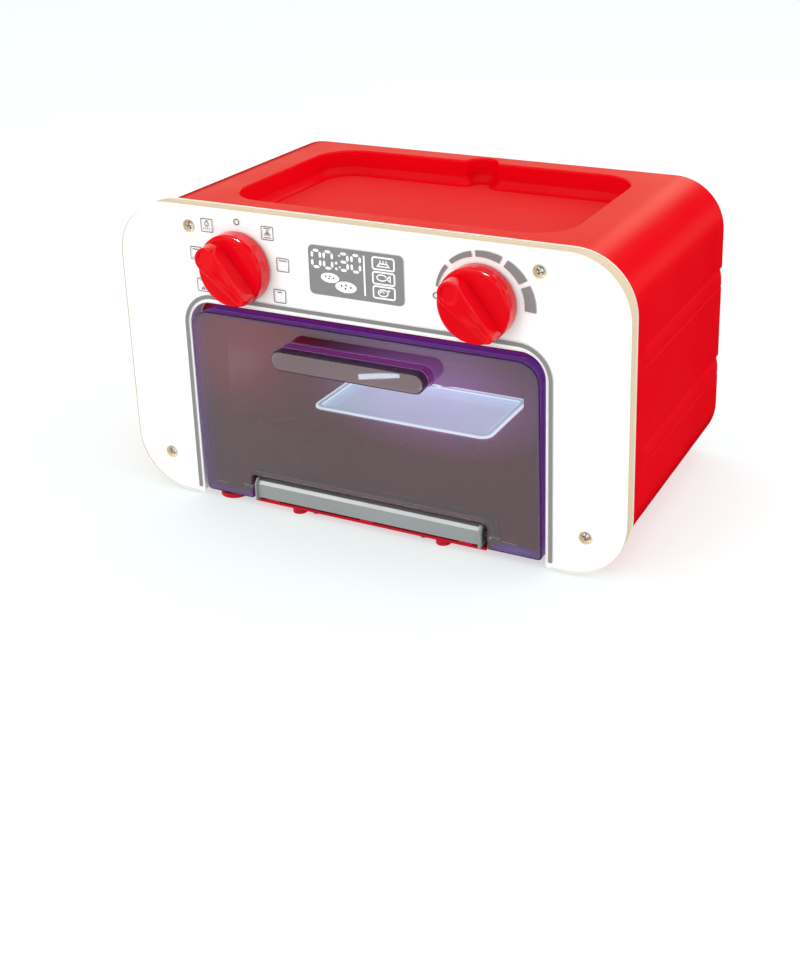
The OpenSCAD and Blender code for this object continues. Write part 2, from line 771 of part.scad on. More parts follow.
module speaker_screws() place() color(steel)
    translate([speaker_x, speaker_y, speaker_z + speaker_flange_t])
        for (turn = [0, 120, 240]) rotate(turn) translate([speaker_boss_r, 0, 0]) {
            cylinder(h = washer_t, r = washer_r);
            cylinder(h = washer_t + small_head_t, r = small_head_r);
            translate([0, 0, 0.5 - speaker_seat - speaker_flange_t])
                cylinder(h = speaker_seat + speaker_flange_t - 0.5, r = small_screw_d / 2);
        }

// ---- Hinge -------------------------------------------------------------------------------

// The grey cover: a channel over the cradles, with blocks that take its screws.
module hinge_cover() place() color("#96a0a4")
    difference() {
        union() {
            difference() {
                bar(-cover_w / 2, cover_w) cover_profile();
                bar(-cover_w / 2 + cover_wall, cover_w - 2 * cover_wall)
                    translate([cover_wall - cover_proud, tongue_top - cut])
                        square([cover_back + cover_proud - 2 * cover_wall,
                            cover_h - cover_wall + cut]);
            }
            for (s = [-1, 1])
                bar(s * cover_screw_x - cover_block_w / 2, cover_block_w)
                    translate([-cover_proud + 0.5, tongue_top])
                        square([cover_back + cover_proud - 1, rod_z - rod_d / 2 - fit_gap - tongue_top]);
            for (x = cradle_xs)
                bar(x - 1, 2) translate([rod_y - 1.2, rod_z + rod_d / 2 + thread_gap])
                    square([2.4, cover_top - cover_wall / 2 - rod_z - rod_d / 2 - thread_gap]);
        }
        for (s = [-1, 1]) {
            translate([s * cover_screw_x, rod_y, tongue_top - cut])
                cylinder(h = 4 + cut, r = cover_screw_d / 2 + thread_gap);
            translate([s * (cover_w / 2 - cover_wall / 2), rod_y, rod_z]) rotate([0, 90, 0])
                cylinder(h = cover_wall + 2 * cut, r = rod_d / 2 + fit_gap, center = true);
        }
    }

module cover_profile() {
    translate([-cover_proud, tongue_top]) square([cover_back + cover_proud, cover_h - cover_r]);
    translate([-cover_proud + cover_r, tongue_top])
        square([cover_back + cover_proud - 2 * cover_r, cover_h]);
    for (y = [-cover_proud + cover_r, cover_back - cover_r])
        translate([y, cover_top - cover_r]) circle(cover_r);
}

module hinge_cover_screws() place() color(steel)
    for (s = [-1, 1]) translate([s * cover_screw_x, rod_y, shell_bottom]) {
        translate([0, 0, -1.4]) cylinder(h = 1.4, r = 2.3);
        cylinder(h = tongue_t + 3.5, r = cover_screw_d / 2);
    }

module hinge_rod() place() color(steel)
    translate([-rod_half, rod_y, rod_z]) rotate([0, 90, 0])
        cylinder(h = 2 * rod_half, r = rod_d / 2);

// ---- Door --------------------------------------------------------------------------------

// The door is drawn shut and then leant out about the rod.
module door() place() color("#5b4a5e", 0.6)
    translate([0, rod_y, rod_z]) rotate([door_ajar, 0, 0]) translate([0, -rod_y, -rod_z])
        difference() {
            union() {
                intersection() {
                    difference() {
                        slab(0, door_t) door_outline(0);
                        slab(door_face, door_t) door_outline(door_wall);
                    }
                    bar(-door_w / 2 - cut, door_w + 2 * cut) door_side();
                }
                for (s = [-1, 1])
                    translate([s * (notch_w + knuckle_l) / 2, rod_y, rod_z]) rotate([0, 90, 0])
                        cylinder(h = knuckle_l, r = knuckle_r, center = true);
                slab(-handle_reach, handle_reach + cut) handle_outline(0);
            }
            translate([0, rod_y, rod_z]) rotate([0, 90, 0])
                cylinder(h = notch_w + 2 * knuckle_l + 2, r = rod_d / 2 + running_gap,
                    center = true);
            slab(-handle_reach + handle_wall, handle_reach + door_t) handle_outline(handle_wall);
        }

module door_outline(inset)
    difference() {
        union() {
            arch(door_w - 2 * inset, door_bottom + door_foot_r, door_top - inset, door_r - inset);
            round_rect(door_w - 2 * inset, door_bottom + inset, door_bottom + 12,
                door_foot_r - min(inset, door_foot_r - 0.4));
        }
        arch(notch_w + 2 * inset, door_bottom - 2 * cut, notch_top + inset, 3);
    }

// The door from its side: below the rod its back is a quarter circle, so that it can swing.
module door_side() {
    translate([-cut, rod_z]) square([door_t + cut, door_top]);
    translate([-cut, door_bottom - cut]) square([rod_y + cut, rod_z - door_bottom + 2 * cut]);
    translate([rod_y, rod_z]) circle(heel_r);
}

module handle_outline(inset) translate([0, handle_z]) {
    r = handle_h / 2 - inset;
    square([handle_w - handle_h, 2 * r], center = true);
    for (s = [-1, 1]) translate([s * (handle_w - handle_h) / 2, 0]) circle(r);
}

// ---- Knobs -------------------------------------------------------------------------------

// Both knobs are the same moulding. It is drawn round the Y axis, with its grip upwards.
module knob() {
    shaft_front = -knob_front + 2;
    difference() {
        union() {
            turned([[0, knob_front - 2.5], [knob_d / 2 - 2.2, knob_front - 2.5],
                [knob_d / 2 - 2.2, knob_gap], [knob_d / 2, knob_gap],
                [knob_d / 2, knob_front - 1.6], [knob_d / 2 - 0.5, knob_front - 0.5],
                [knob_d / 2 - 1.6, knob_front], [0, knob_front]]);
            slab(-grip_front, grip_h + 1) grip_outline();
            rod_y(0, 0, shaft_front, shaft_end - shaft_front, shaft_d / 2);
        }
        rod_y(0, grip_wide_u + 1.5, -grip_front - cut, cut + 0.5, 4.6);
        slab(-grip_front - cut, cut + 0.5) finger_groove();
        rod_y(0, 0, shaft_end - 10, 10 + cut, knob_screw_d / 2 + thread_gap);
    }
}

// A ring turned about the Y axis from points of radius and distance in front of the panel.
module turned(points) rotate([90, 0, 0]) rotate_extrude() polygon(points);

// Two circles joined by straight sides, which meet them a hair inside the common tangents.
module grip_outline() {
    lean = asin((grip_wide_r - grip_tail_r) / (grip_wide_u - grip_tail_u));
    wide = grip_wide_r - 0.03;
    tail = grip_tail_r - 0.03;
    translate([0, grip_wide_u]) circle(grip_wide_r);
    translate([0, grip_tail_u]) circle(grip_tail_r);
    polygon([for (p = [[-wide, grip_wide_u], [wide, grip_wide_u],
            [tail, grip_tail_u], [-tail, grip_tail_u]])
        [p[0] * cos(lean), p[1] - abs(p[0]) * sin(lean)]]);
}

module finger_groove() {
    for (z = [grip_tail_u + 2, -2]) translate([0, z]) circle(2.2);
    translate([-2.2, grip_tail_u + 2]) square([4.4, -4 - grip_tail_u]);
}

module at_knob(side) place() translate([side * knob_x, 0, knob_z]) rotate([0, rest_angle, 0])
    children();

module contact_disc()
    difference() {
        rod_y(0, 0, shaft_end, contact_disc_t, contact_disc_r);
        rod_y(0, 0, shaft_end - cut, contact_disc_t + 2 * cut, knob_screw_d / 2 + fit_gap);
    }

// A ring of sprung sheet with three fingers that reach for the board's tracks.
module wiper() {
    finger_l = 8;
    reach = board_y - track_t - fit_gap - wiper_y - wiper_t;
    difference() {
        rod_y(0, 0, wiper_y, wiper_t, 9);
        rod_y(0, 0, wiper_y - cut, wiper_t + 2 * cut, 4.5);
    }
    for (turn = [0, 120, 240])
        rotate([0, turn, 0]) translate([6.4, wiper_y + wiper_t / 2, 0])
            rotate([-asin(reach / finger_l), 0, 0])
                translate([0, -wiper_t / 2, 0]) cube([1.6, wiper_t, finger_l]);
}

module knob_screw() {
    rod_y(0, 0, wiper_y, 1.7, 2.5);
    rod_y(0, 0, wiper_y - 8, 8, knob_screw_d / 2);
}

module left_knob() color(red) at_knob(-1) knob();
module left_contact_disc() color("#303034") at_knob(-1) contact_disc();
module left_wiper() color("#d8b060") at_knob(-1) wiper();
module left_knob_screw() color(steel) at_knob(-1) knob_screw();
module right_knob() color(red) at_knob(1) knob();
module right_contact_disc() color("#303034") at_knob(1) contact_disc();
module right_wiper() color("#d8b060") at_knob(1) wiper();
module right_knob_screw() color(steel) at_knob(1) knob_screw();

// ---- Control board -----------------------------------------------------------------------

module control_board() place() color("#2c6b3c")
    difference() {
        slab(board_y, board_t)
            round_rect(board_w, knob_z - board_h / 2, knob_z + board_h / 2, 2);
        at_board_posts() rod_y(0, 0, board_y - cut, board_t + 2 * cut, small_screw_d / 2 + fit_gap);
    }

// Two copper rings round each knob's axis, on the front of the board.
module contact_tracks() place() color("#c98a4b")
    for (s = [-1, 1], r = [6, 9.4])
        difference() {
            rod_y(s * knob_x, knob_z, board_y - track_t, track_t, r + 2.4);
            rod_y(s * knob_x, knob_z, board_y - track_t - cut, track_t + 2 * cut, r);
        }

// Driver chip, sound chip, two capacitors and three wire sockets, on the back of the board.
module board_components() place() color("#222226")
    translate([0, board_y + board_t, knob_z]) {
        translate([-chip_w / 2, 0, -chip_h / 2]) cube([chip_w, chip_t, chip_h]);
        translate([-2.5 * chip_w, 0, -chip_h / 2]) cube([chip_h, chip_t, chip_h]);
        for (x = [1.5, 2]) rod_y(x * chip_w, 0, 0, capacitor_h, capacitor_r);
        for (x = [-light_socket_x, light_socket_x, power_socket_x])
            translate([x - socket_w / 2, 0, -socket_drop - socket_h / 2])
                cube([socket_w, socket_t, socket_h]);
    }

module control_board_screws() place() color(steel)
    at_board_posts() {
        rod_y(0, 0, board_y - 5, 5 + board_t, small_screw_d / 2);
        rod_y(0, 0, board_y + board_t, small_head_t, small_head_r);
    }

// ---- Wires -------------------------------------------------------------------------------
// Each pair runs beside the cavity, from a socket on the control board to what it feeds.

light_socket_x = board_w / 2 - 36;
power_socket_x = board_w / 2 - 16;
wire_r = 0.65;
wire_y = board_y + board_t + socket_t / 2;
wire_top = knob_z - socket_drop - socket_h / 2;
wire_turn = wire_top - 5;
side_x = cavity_w / 2 + 16;
side_top = cavity_top + liner_wall + 5;
side_y = wire_y + 6;
side_bottom = post_joint_z + 4;

// A wire through the given points: straight runs with a ball in each elbow.
module wire(points) {
    for (i = [0 : len(points) - 2]) wire_run(points[i], points[i + 1]);
    for (i = [1 : len(points) - 2]) translate(points[i]) sphere(r = wire_r + 0.05);
}

module wire_run(a, b) {
    d = b - a;
    l = norm(d);
    translate(a) rotate([0, acos(d[2] / l), atan2(d[1], d[0])]) cylinder(h = l, r = wire_r);
}

// Two wires a step apart. They leave beside each other in Y, and arrive one above the other.
module wire_pair(step, points)
    for (i = [-0.5, 0.5])
        wire([for (k = [0 : len(points) - 1]) points[k] + i * (k < 2 ? [0, step[1], 0]
            : k > len(points) - 3 ? [0, 0, step[2]] : step)]);

module power_wires() place() color("#b02020")
    wire_pair([1.5, 2, 1.5], [
        [power_socket_x, wire_y, wire_top],
        [power_socket_x, wire_y, wire_turn - 3],
        [side_x, side_y, side_top],
        [side_x, side_y, side_bottom],
        [side_x - 14, pocket_y, side_bottom - 10],
        [pocket_w / 2 + base_t + 0.1, pocket_y, cell_z + 3]]);

module light_wires() place() color("#d8d8d8")
    wire_pair([0.3, 2.2, 1.7], [
        [light_socket_x, wire_y, wire_top],
        [light_socket_x, wire_y, wire_turn],
        [side_x, side_y + 8, side_top],
        [side_x, side_y + 8, side_bottom + 10],
        [light_board_w / 2 + 6, diffuser_mid_y, light_board_top - light_board_t / 2],
        [light_board_w / 2, diffuser_mid_y, light_board_top - light_board_t / 2]]);

module speaker_wires() place() color("#303034")
    wire_pair([1.7, -1.7, 1.7], [
        [-light_socket_x, wire_y, wire_top],
        [-light_socket_x, wire_y, wire_turn],
        [-side_x, side_y, side_top],
        [-side_x, side_y, side_bottom],
        [speaker_x - magnet_r - 6, speaker_y, speaker_z + speaker_flange_t + basket_h + magnet_h / 2],
        [speaker_x - magnet_r, speaker_y, speaker_z + speaker_flange_t + basket_h + magnet_h / 2]]);

front_panel();
panel_screws();
outer_shell();
inner_housing();
light_diffuser();
light_board();
leds();
light_board_screws();
base_plate();
base_screws();
hinge_cover();
hinge_cover_screws();
hinge_rod();
door();
left_knob();
left_contact_disc();
left_wiper();
left_knob_screw();
right_knob();
right_contact_disc();
right_wiper();
right_knob_screw();
control_board();
contact_tracks();
board_components();
control_board_screws();
speaker_frame();
speaker_cone();
speaker_screws();
battery_cover();
battery_cover_screw();
batteries();
battery_contacts();
power_wires();
light_wires();
speaker_wires();
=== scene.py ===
"""Looks of the toy oven: painted plywood front, red moulded shell, smoked door, two knobs."""

import math

import bmesh
import bpy
from mathutils import Matrix, Vector
from mathutils.geometry import tessellate_polygon


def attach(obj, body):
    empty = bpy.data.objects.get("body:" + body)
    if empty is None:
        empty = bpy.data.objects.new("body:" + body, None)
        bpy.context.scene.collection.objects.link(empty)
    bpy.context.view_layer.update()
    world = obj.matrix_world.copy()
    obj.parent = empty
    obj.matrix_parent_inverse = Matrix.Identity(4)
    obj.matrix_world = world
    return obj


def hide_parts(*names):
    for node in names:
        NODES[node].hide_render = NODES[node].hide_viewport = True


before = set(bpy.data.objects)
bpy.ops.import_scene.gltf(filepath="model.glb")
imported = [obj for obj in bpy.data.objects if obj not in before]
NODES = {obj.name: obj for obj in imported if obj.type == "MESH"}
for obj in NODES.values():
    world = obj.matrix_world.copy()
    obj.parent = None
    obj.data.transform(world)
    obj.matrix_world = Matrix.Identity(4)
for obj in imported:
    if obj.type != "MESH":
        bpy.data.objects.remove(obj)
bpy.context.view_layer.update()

# Millimetres, with y from the panel's face and z from the table, as the part is drawn.
FACE_Y = -81.35
PANEL_T = 11.7
PANEL_TOP = 185.7
KNOB_X, KNOB_Z = 76.0, 152.6
SHELL_X, SHELL_TOP, SHELL_BOTTOM, SHELL_BACK = 156.6, 182.3, 3.3, 183.0
SHELL_R = 31.6
ROD_Y, ROD_Z = 4.6, 11.6


def at(x, y, z):
    """A point in metres in the row frame."""
    return Vector((x * 0.001, (y + FACE_Y) * 0.001, z * 0.001))


# ---- Camera, light and floor -----------------------------------------------------------------

def add_camera():
    width, height = 800, 978
    focal, centre_x, centre_y = 1421.4, 472.73, 296.0           # in pixels
    yaw, pitch, roll = math.radians(25.47), math.radians(19.31), -0.0158
    forward = Vector((-math.sin(yaw) * math.cos(pitch), math.cos(yaw) * math.cos(pitch),
                      -math.sin(pitch)))
    right = Vector((math.cos(yaw), math.sin(yaw), 0))
    up = right.cross(forward)
    right, up = (math.cos(roll) * right + math.sin(roll) * up,
                 math.cos(roll) * up - math.sin(roll) * right)
    data = bpy.data.cameras.new("camera")
    data.sensor_fit = "HORIZONTAL"
    data.sensor_width = 36
    data.lens = focal * 36 / width
    data.shift_x = (width / 2 - centre_x) / width
    data.shift_y = (centre_y - height / 2) / width
    data.clip_end = 50
    camera = bpy.data.objects.new("camera", data)
    camera.matrix_world = Matrix.Translation((0.3765, -0.72156, 0.40333)) @ Matrix(
        (right, up, -forward)).transposed().to_4x4()
    bpy.context.scene.collection.objects.link(camera)
    bpy.context.scene.camera = camera


def area_light(name, place, aim, size, radiance, gloss=True, diffuse=True, colour=(1, 1, 1),
               only=None, through=True):
    """A soft box, or with diffuse off a card that shows only in reflections. only names the
    collection of the pieces that it lights, through shows it behind see-through plastic."""
    data = bpy.data.lights.new(name, "AREA")
    data.shape = "RECTANGLE"
    data.size, data.size_y = size
    data.energy = radiance * math.pi * size[0] * size[1]
    data.color = colour
    lamp = bpy.data.objects.new(name, data)
    lamp.location = place
    lamp.rotation_euler = (Vector(aim) - Vector(place)).to_track_quat("-Z", "Y").to_euler()
    lamp.visible_camera = False
    lamp.visible_diffuse = diffuse
    lamp.visible_glossy = gloss
    lamp.visible_transmission = through
    if only:
        lamp.light_linking.receiver_collection = only
    bpy.context.scene.collection.objects.link(lamp)


def only_for(name):
    """A collection for the pieces that one lamp lights."""
    return bpy.data.collections.new("lit_by_" + name)


class Tree:
    """A node tree that is built by short calls."""

    def __init__(self, owner):
        owner.use_nodes = True
        self.tree = owner.node_tree
        self.tree.nodes.clear()

    def node(self, kind, sockets=None, **options):
        made = self.tree.nodes.new("ShaderNode" + kind)
        for key, value in options.items():
            setattr(made, key, value)
        for key, value in (sockets or {}).items():
            self.put(made.inputs[key], value)
        return made

    def put(self, socket, value):
        if isinstance(value, bpy.types.NodeSocket):
            self.tree.links.new(value, socket)
        elif isinstance(value, bpy.types.Node):
            self.tree.links.new(value.outputs[0], socket)
        else:
            socket.default_value = value

    def math(self, operation, *values):
        made = self.node("Math", operation=operation)
        for k, value in enumerate(values):
            self.put(made.inputs[k], value)
        return made.outputs[0]

    def mix(self, factor, a, b):
        """A colour between a and b."""
        made = self.node("Mix", data_type="RGBA")
        self.put(made.inputs[0], factor)
        self.put(made.inputs[6], a)
        self.put(made.inputs[7], b)
        return made.outputs[2]

    def ramp(self, value, low, high, out_low=0.0, out_high=1.0, smooth=False):
        made = self.node("MapRange", clamp=True)
        if smooth:
            made.interpolation_type = "SMOOTHSTEP"
        for k, v in enumerate((value, low, high, out_low, out_high)):
            self.put(made.inputs[k], v)
        return made.outputs[0]

    def noise(self, scale, detail=2.0, roughness=0.5, stretch=None):
        place = self.node("TexCoord").outputs["Object"]
        if stretch:
            place = self.node("Mapping", {"Vector": place, "Scale": stretch}).outputs[0]
        return self.node("TexNoise", {"Vector": place, "Scale": scale, "Detail": detail,
                                      "Roughness": roughness}).outputs["Fac"]

    def bump(self, height, strength, distance, normal=None):
        sockets = {"Height": height, "Strength": strength, "Distance": distance}
        if normal is not None:
            sockets["Normal"] = normal
        return self.node("Bump", sockets).outputs[0]


MAT = {}


class Finish(Tree):
    """The node tree of a new material, which MAT keeps by its name."""

    def __init__(self, name):
        MAT[name] = bpy.data.materials.new(name)
        super().__init__(MAT[name])

    def surface(self, sockets):
        self.node("OutputMaterial", {"Surface": self.node("BsdfPrincipled", sockets)})


def set_world():
    """An even pale room. Its reflections are pale low behind, at the horizon on the right and in
    front, and dark elsewhere, as from black flags."""
    world = bpy.data.worlds.new("studio")
    bpy.context.scene.world = world
    t = Tree(world)
    x, y, z = t.node("SeparateXYZ", {0: t.node("TexCoord").outputs["Generated"]}).outputs

    def where(*ramps):
        total = t.ramp(*ramps[0], smooth=True)
        for more in ramps[1:]:
            total = t.math("MULTIPLY", total, t.ramp(*more, smooth=True))
        return total

    parts = [
        # Low behind.
        where((z, 0.1, 0.22), (z, 0.22, 0.31, 0.8, 0.38), (z, 0.32, 0.6, 1.0, 0.0),
              (x, -0.05, 0.2, 1.0, 0.0), (y, 0.3, 0.7)),
        where((x, -0.33, -0.15), (x, -0.1, 0.12, 0.8, 0.0), (y, 0.5, 0.8), (z, 0.1, 0.25)),
        # At the horizon on the right, then in front.
        where((x, 0.28, 0.42), (z, -0.14, 0.0, 0.0, 0.25), (z, 0.1, 0.25, 1.0, 0.0)),
        where((y, 0.0, -0.5, 0.0, 0.02), (z, -0.5, 0.0, 0.6, 1.0)),
        where((y, 0.0, -0.5), (z, -0.36, -0.1, 0.0, 0.35), (z, 0.0, 0.4, 1.0, 0.0)),
        # Low on the left.
        where((x, -0.5, -0.65, 0.0, 0.3), (z, -0.2, -0.35))]
    seen = parts[0]
    for part in parts[1:]:
        seen = t.math("ADD", seen, part)
    glossy = t.node("LightPath").outputs["Is Glossy Ray"]
    level = t.node("Mix", {0: glossy})
    t.put(level.inputs[2], 1.0)
    t.put(level.inputs[3], seen)
    warm = t.mix(glossy, (1.0, 1.0, 1.0, 1.0), (1.0, 0.93, 0.66, 1.0))
    background = t.node("Background", {"Color": warm, "Strength": level.outputs[0]})
    t.node("OutputWorld", {"Surface": background})
    world.cycles.sampling_method = "NONE"


def add_floor():
    mesh = bpy.data.meshes.new("floor")
    reach = 8
    mesh.from_pydata([(-reach, -reach, 0), (reach, -reach, 0), (reach, reach, 0),
                      (-reach, reach, 0)], [], [(0, 1, 2, 3)])
    floor = bpy.data.objects.new("floor", mesh)
    bpy.context.scene.collection.objects.link(floor)
    t = Finish("studio_floor")
    tone = t.mix(t.noise(3.0, 3.0), (0.40, 0.47, 0.465, 1), (0.42, 0.49, 0.485, 1))
    t.surface({"Base Color": tone, "Roughness": 0.8, "Specular IOR Level": 0.0,
               "Emission Color": (1.0, 1.0, 1.0, 1.0), "Emission Strength": 0.52})
    mesh.materials.append(MAT["studio_floor"])
    floor.visible_glossy = False


add_camera()
set_world()
add_floor()
FRONT_SEEN, BAR_SEEN = only_for("front_card"), only_for("bar_card")
KNOBS_SEEN, HOLES_SEEN = only_for("knob_cards"), only_for("hole_fill")
LEFT_SEEN, RIGHT_SEEN = only_for("left_glint"), only_for("right_glint")
area_light("key", (-0.8, -2.0, 0.8), (0, 0, 0.1), (1.6, 1.2), 2.4, gloss=False)
area_light("top", (0.0, 0.3, 1.8), (0, 0, 0), (1.6, 1.6), 0.5, gloss=False)
area_light("side_fill", (1.7, 0.4, 1.0), (0.1, 0, 0.05), (1.5, 1.5), 1.6, gloss=False)
area_light("front_card", (-0.9, -1.9, -0.62), (0, -0.08, 0.08), (4.0, 2.6), 1.5, diffuse=False,
           only=FRONT_SEEN)
area_light("grip_strip", (-0.5255, -1.036, -0.400), (0.02, -0.094, 0.106), (0.058, 0.0085), 11.0,
           diffuse=False, colour=(0.78, 0.92, 1.1), only=FRONT_SEEN)
area_light("bar_card", (-0.5, -0.66, 0.94), (0, -0.08, 0.02), (1.0, 0.9), 11.0, diffuse=False,
           only=BAR_SEEN)
area_light("knob_card", (-0.55, -0.6, 1.2), (0, -0.09, 0.15), (1.1, 0.8), 1.0, diffuse=False,
           only=KNOBS_SEEN)
area_light("knob_side", (0.75, -0.9, 0.85), (0, -0.09, 0.15), (0.30, 0.4), 3.0, diffuse=False,
           only=KNOBS_SEEN)
area_light("left_glint", (-0.21, -0.58, 1.12), (-0.076, -0.09, 0.15), (0.22, 0.15), 170.0,
           diffuse=False, only=LEFT_SEEN)
area_light("right_glint", (0.18, -0.58, 1.12), (0.076, -0.09, 0.15), (0.22, 0.15), 170.0,
           diffuse=False, only=RIGHT_SEEN)
area_light("hole_fill", (-0.9, -1.9, 0.3), (0, -0.08, 0.1), (0.8, 0.8), 6.5, gloss=False,
           only=HOLES_SEEN)
LAMP_Y = (74.7 + FACE_Y) * 0.001
area_light("oven_lamp", (0, LAMP_Y, 0.056), (0, LAMP_Y, 0.1), (0.10, 0.045), 3.0, gloss=False,
           colour=(0.86, 0.80, 1.0), through=False)
view = bpy.context.scene.view_settings
view.view_transform = "Standard"
view.look = "None"
view.exposure = 0.0
view.gamma = 1.0


# ---- Materials -------------------------------------------------------------------------------

def srgb(r, g, b):
    """A linear colour from one on the screen, 0 to 255."""
    return tuple((c / 12.92 if c <= 0.04045 else ((c + 0.055) / 1.055) ** 2.4)
                 for c in (r / 255, g / 255, b / 255)) + (1.0,)


def moulded(name, light, dark, rough=(0.22, 0.34), specular=0.5, grain=0.02, grain_scale=260):
    """Moulded plastic: a slow drift of tone, smudges of gloss and a fine skin."""
    t = Finish(name)
    drift = t.ramp(t.noise(9.0, 3.0), 0.35, 0.65)
    smudge = t.noise(28.0, 4.0, 0.6)
    t.surface({"Base Color": t.mix(drift, dark, light),
               "Roughness": t.ramp(smudge, 0.3, 0.75, *rough),
               "Specular IOR Level": specular,
               "Normal": t.bump(t.noise(grain_scale, 1.0), grain, 0.0002)})


def metal(name, colour, rough=(0.25, 0.4), scale=400):
    """Metal with fine tool marks."""
    t = Finish(name)
    marks = t.noise(scale, 4.0, 0.6)
    tone = t.mix(t.ramp(marks, 0.3, 0.7), tuple(c * 0.7 for c in colour[:3]) + (1,), colour)
    t.surface({"Base Color": tone, "Metallic": 1.0, "Roughness": t.ramp(marks, 0.3, 0.7, *rough),
               "Normal": t.bump(marks, 0.15, 0.0001)})


def plywood_paint():
    """White paint on the panel's front and in its arch, bare lacquered plies on its outer edges
    and back."""
    t = Finish("painted_plywood")
    spot = t.node("TexCoord").outputs["Object"]
    normal = t.node("SeparateXYZ", {0: t.node("NewGeometry").outputs["Normal"]})
    depth = t.node("SeparateXYZ", {0: spot}).outputs[1]
    # Plies through the thickness; every second one shows its end grain.
    plies = 9
    layer = t.math("MULTIPLY", t.math("ADD", depth, -FACE_Y * 0.001), plies / (PANEL_T * 0.001))
    wander = t.math("MULTIPLY", t.math("SUBTRACT", t.noise(9.0, 2.0), 0.5), 0.12)
    layer = t.math("ADD", layer, wander)
    turn = t.math("SINE", t.math("MULTIPLY", layer, math.pi))
    ply = t.ramp(turn, -0.35, 0.35, smooth=True)
    fibre = t.noise(240.0, 4.0, 0.65, (0.25, 6.0, 0.25))
    end_grain = t.mix(t.ramp(t.noise(700.0, 2.0), 0.35, 0.7), srgb(212, 194, 164),
                      srgb(201, 181, 149))
    long_grain = t.mix(t.ramp(fibre, 0.3, 0.75), srgb(224, 207, 180), srgb(214, 195, 164))
    wood = t.mix(ply, end_grain, long_grain)
    glue = t.ramp(t.math("ABSOLUTE", turn), 0.0, 0.12, 0.4, 0.0)
    wood = t.mix(glue, wood, srgb(200, 172, 132))
    paint_mask = t.ramp(normal.outputs[1], -0.45, -0.25, 1.0, 0.0)
    across, _, up = t.node("SeparateXYZ", {0: spot}).outputs
    arch_x, arch_top = 0.1162, 0.1305
    arch = t.math("MULTIPLY", t.math("LESS_THAN", t.math("ABSOLUTE", across), arch_x),
                  t.math("LESS_THAN", up, arch_top))
    paint_mask = t.math("MAXIMUM", paint_mask, arch)
    paint = t.mix(t.ramp(t.noise(6.0, 2.0), 0.3, 0.7), (0.93, 0.93, 0.93, 1),
                  (0.95, 0.95, 0.945, 1))
    tone = t.mix(paint_mask, wood, paint)
    peel = t.noise(900.0, 2.0)
    grain = t.noise(120.0, 4.0, 0.6, (0.12, 1.0, 3.0))
    normal_map = t.bump(peel, 0.05, 0.0002, t.bump(grain, 0.05, 0.0003))
    t.surface({"Base Color": tone, "Specular IOR Level": 0.2,
               "Roughness": t.ramp(t.noise(30.0, 3.0), 0.3, 0.7, 0.36, 0.46),
               "Normal": normal_map})


def bare_wood_painted_light():
    """The wood inside the counterbores, left bare of paint. Its tones are paler than the plies on
    the panel's edges: painted light against the shade in the holes.
    """
    t = Finish("bare_wood_painted_light")
    fibre = t.noise(260.0, 4.0, 0.65, (0.3, 5.0, 0.3))
    tone = t.mix(t.ramp(fibre, 0.3, 0.75), srgb(255, 243, 214), srgb(246, 224, 186))
    t.surface({"Base Color": tone, "Roughness": 0.6, "Normal": t.bump(fibre, 0.3, 0.0002)})


def smoked(name, light, dark, through, painted_glow, painted_glow_patches=()):
    """Smoked see-through plastic. Its emission colour is a weak painted glow of its own, in place
    of what its thickness scatters; the patches are soft spots of more painted glow: x, z, width,
    height in mm and colour."""
    t = Finish(name)
    drift = t.ramp(t.noise(10.0, 2.0), 0.35, 0.65)
    # Each patch mixes in more painted glow.
    for x, z, width, height, colour in painted_glow_patches:
        round_spot = t.node("Mapping", {
            "Vector": t.node("TexCoord").outputs["Object"],
            "Location": (-x / width, 0.0, -z / height),
            "Scale": (1000 / width, 0.0, 1000 / height)})
        spot = t.node("TexGradient", {"Vector": round_spot.outputs[0]},
                      gradient_type="SPHERICAL").outputs[1]
        painted_glow = t.mix(t.ramp(spot, 0.0, 1.0, smooth=True), painted_glow, colour)
    t.surface({"Base Color": t.mix(drift, dark, light), "Transmission Weight": through,
               "IOR": 1.56, "Roughness": t.ramp(t.noise(35.0, 4.0, 0.6), 0.4, 0.8, 0.01, 0.04),
               "Emission Color": painted_glow, "Emission Strength": 1.0})


def milky(name, strength, glow):
    """Milky plastic that is lit from below by small lamps."""
    t = Finish(name)
    cloud = t.ramp(t.noise(22.0, 2.0), 0.3, 0.7, 0.86, 1.0)
    tone = t.mix(t.noise(600.0, 2.0), (0.80, 0.84, 0.95, 1), (0.86, 0.89, 0.98, 1))
    t.surface({"Base Color": tone, "Roughness": 0.4, "Subsurface Weight": 0.3,
               "Emission Color": glow, "Emission Strength": t.math("MULTIPLY", cloud, strength)})


def print_ink(name, dark, light):
    t = Finish(name)
    speckle = t.ramp(t.noise(2600.0, 2.0), 0.3, 0.7)
    tone = t.mix(speckle, dark, light)
    t.surface({"Base Color": tone, "Roughness": 0.5, "Specular IOR Level": 0.3,
               "Normal": t.bump(speckle, 0.05, 0.0001)})


plywood_paint()
bare_wood_painted_light()
moulded("red_plastic", (0.745, 0.0004, 0.007, 1), (0.725, 0.0002, 0.006, 1), rough=(0.19, 0.27),
        specular=0.2)
# The recess floor: rougher, and paler than the shell's red, a painted sheen standing for the pale
# reflection on it.
moulded("red_matt_painted_sheen", (0.73, 0.023, 0.022, 1), (0.71, 0.021, 0.020, 1), rough=(0.5, 0.6),
        specular=0.1)
moulded("base_red", (0.50, 0.005, 0.022, 1), (0.46, 0.004, 0.020, 1), rough=(0.25, 0.35),
        specular=0.3)
moulded("dark_red_plastic", (0.55, 0.003, 0.02, 1), (0.48, 0.002, 0.016, 1), rough=(0.22, 0.3))
milky("milky_plastic", 1.7, (0.44, 0.78, 0.86, 1))
milky("milky_rim", 3.0, (0.66, 0.98, 1.0, 1))
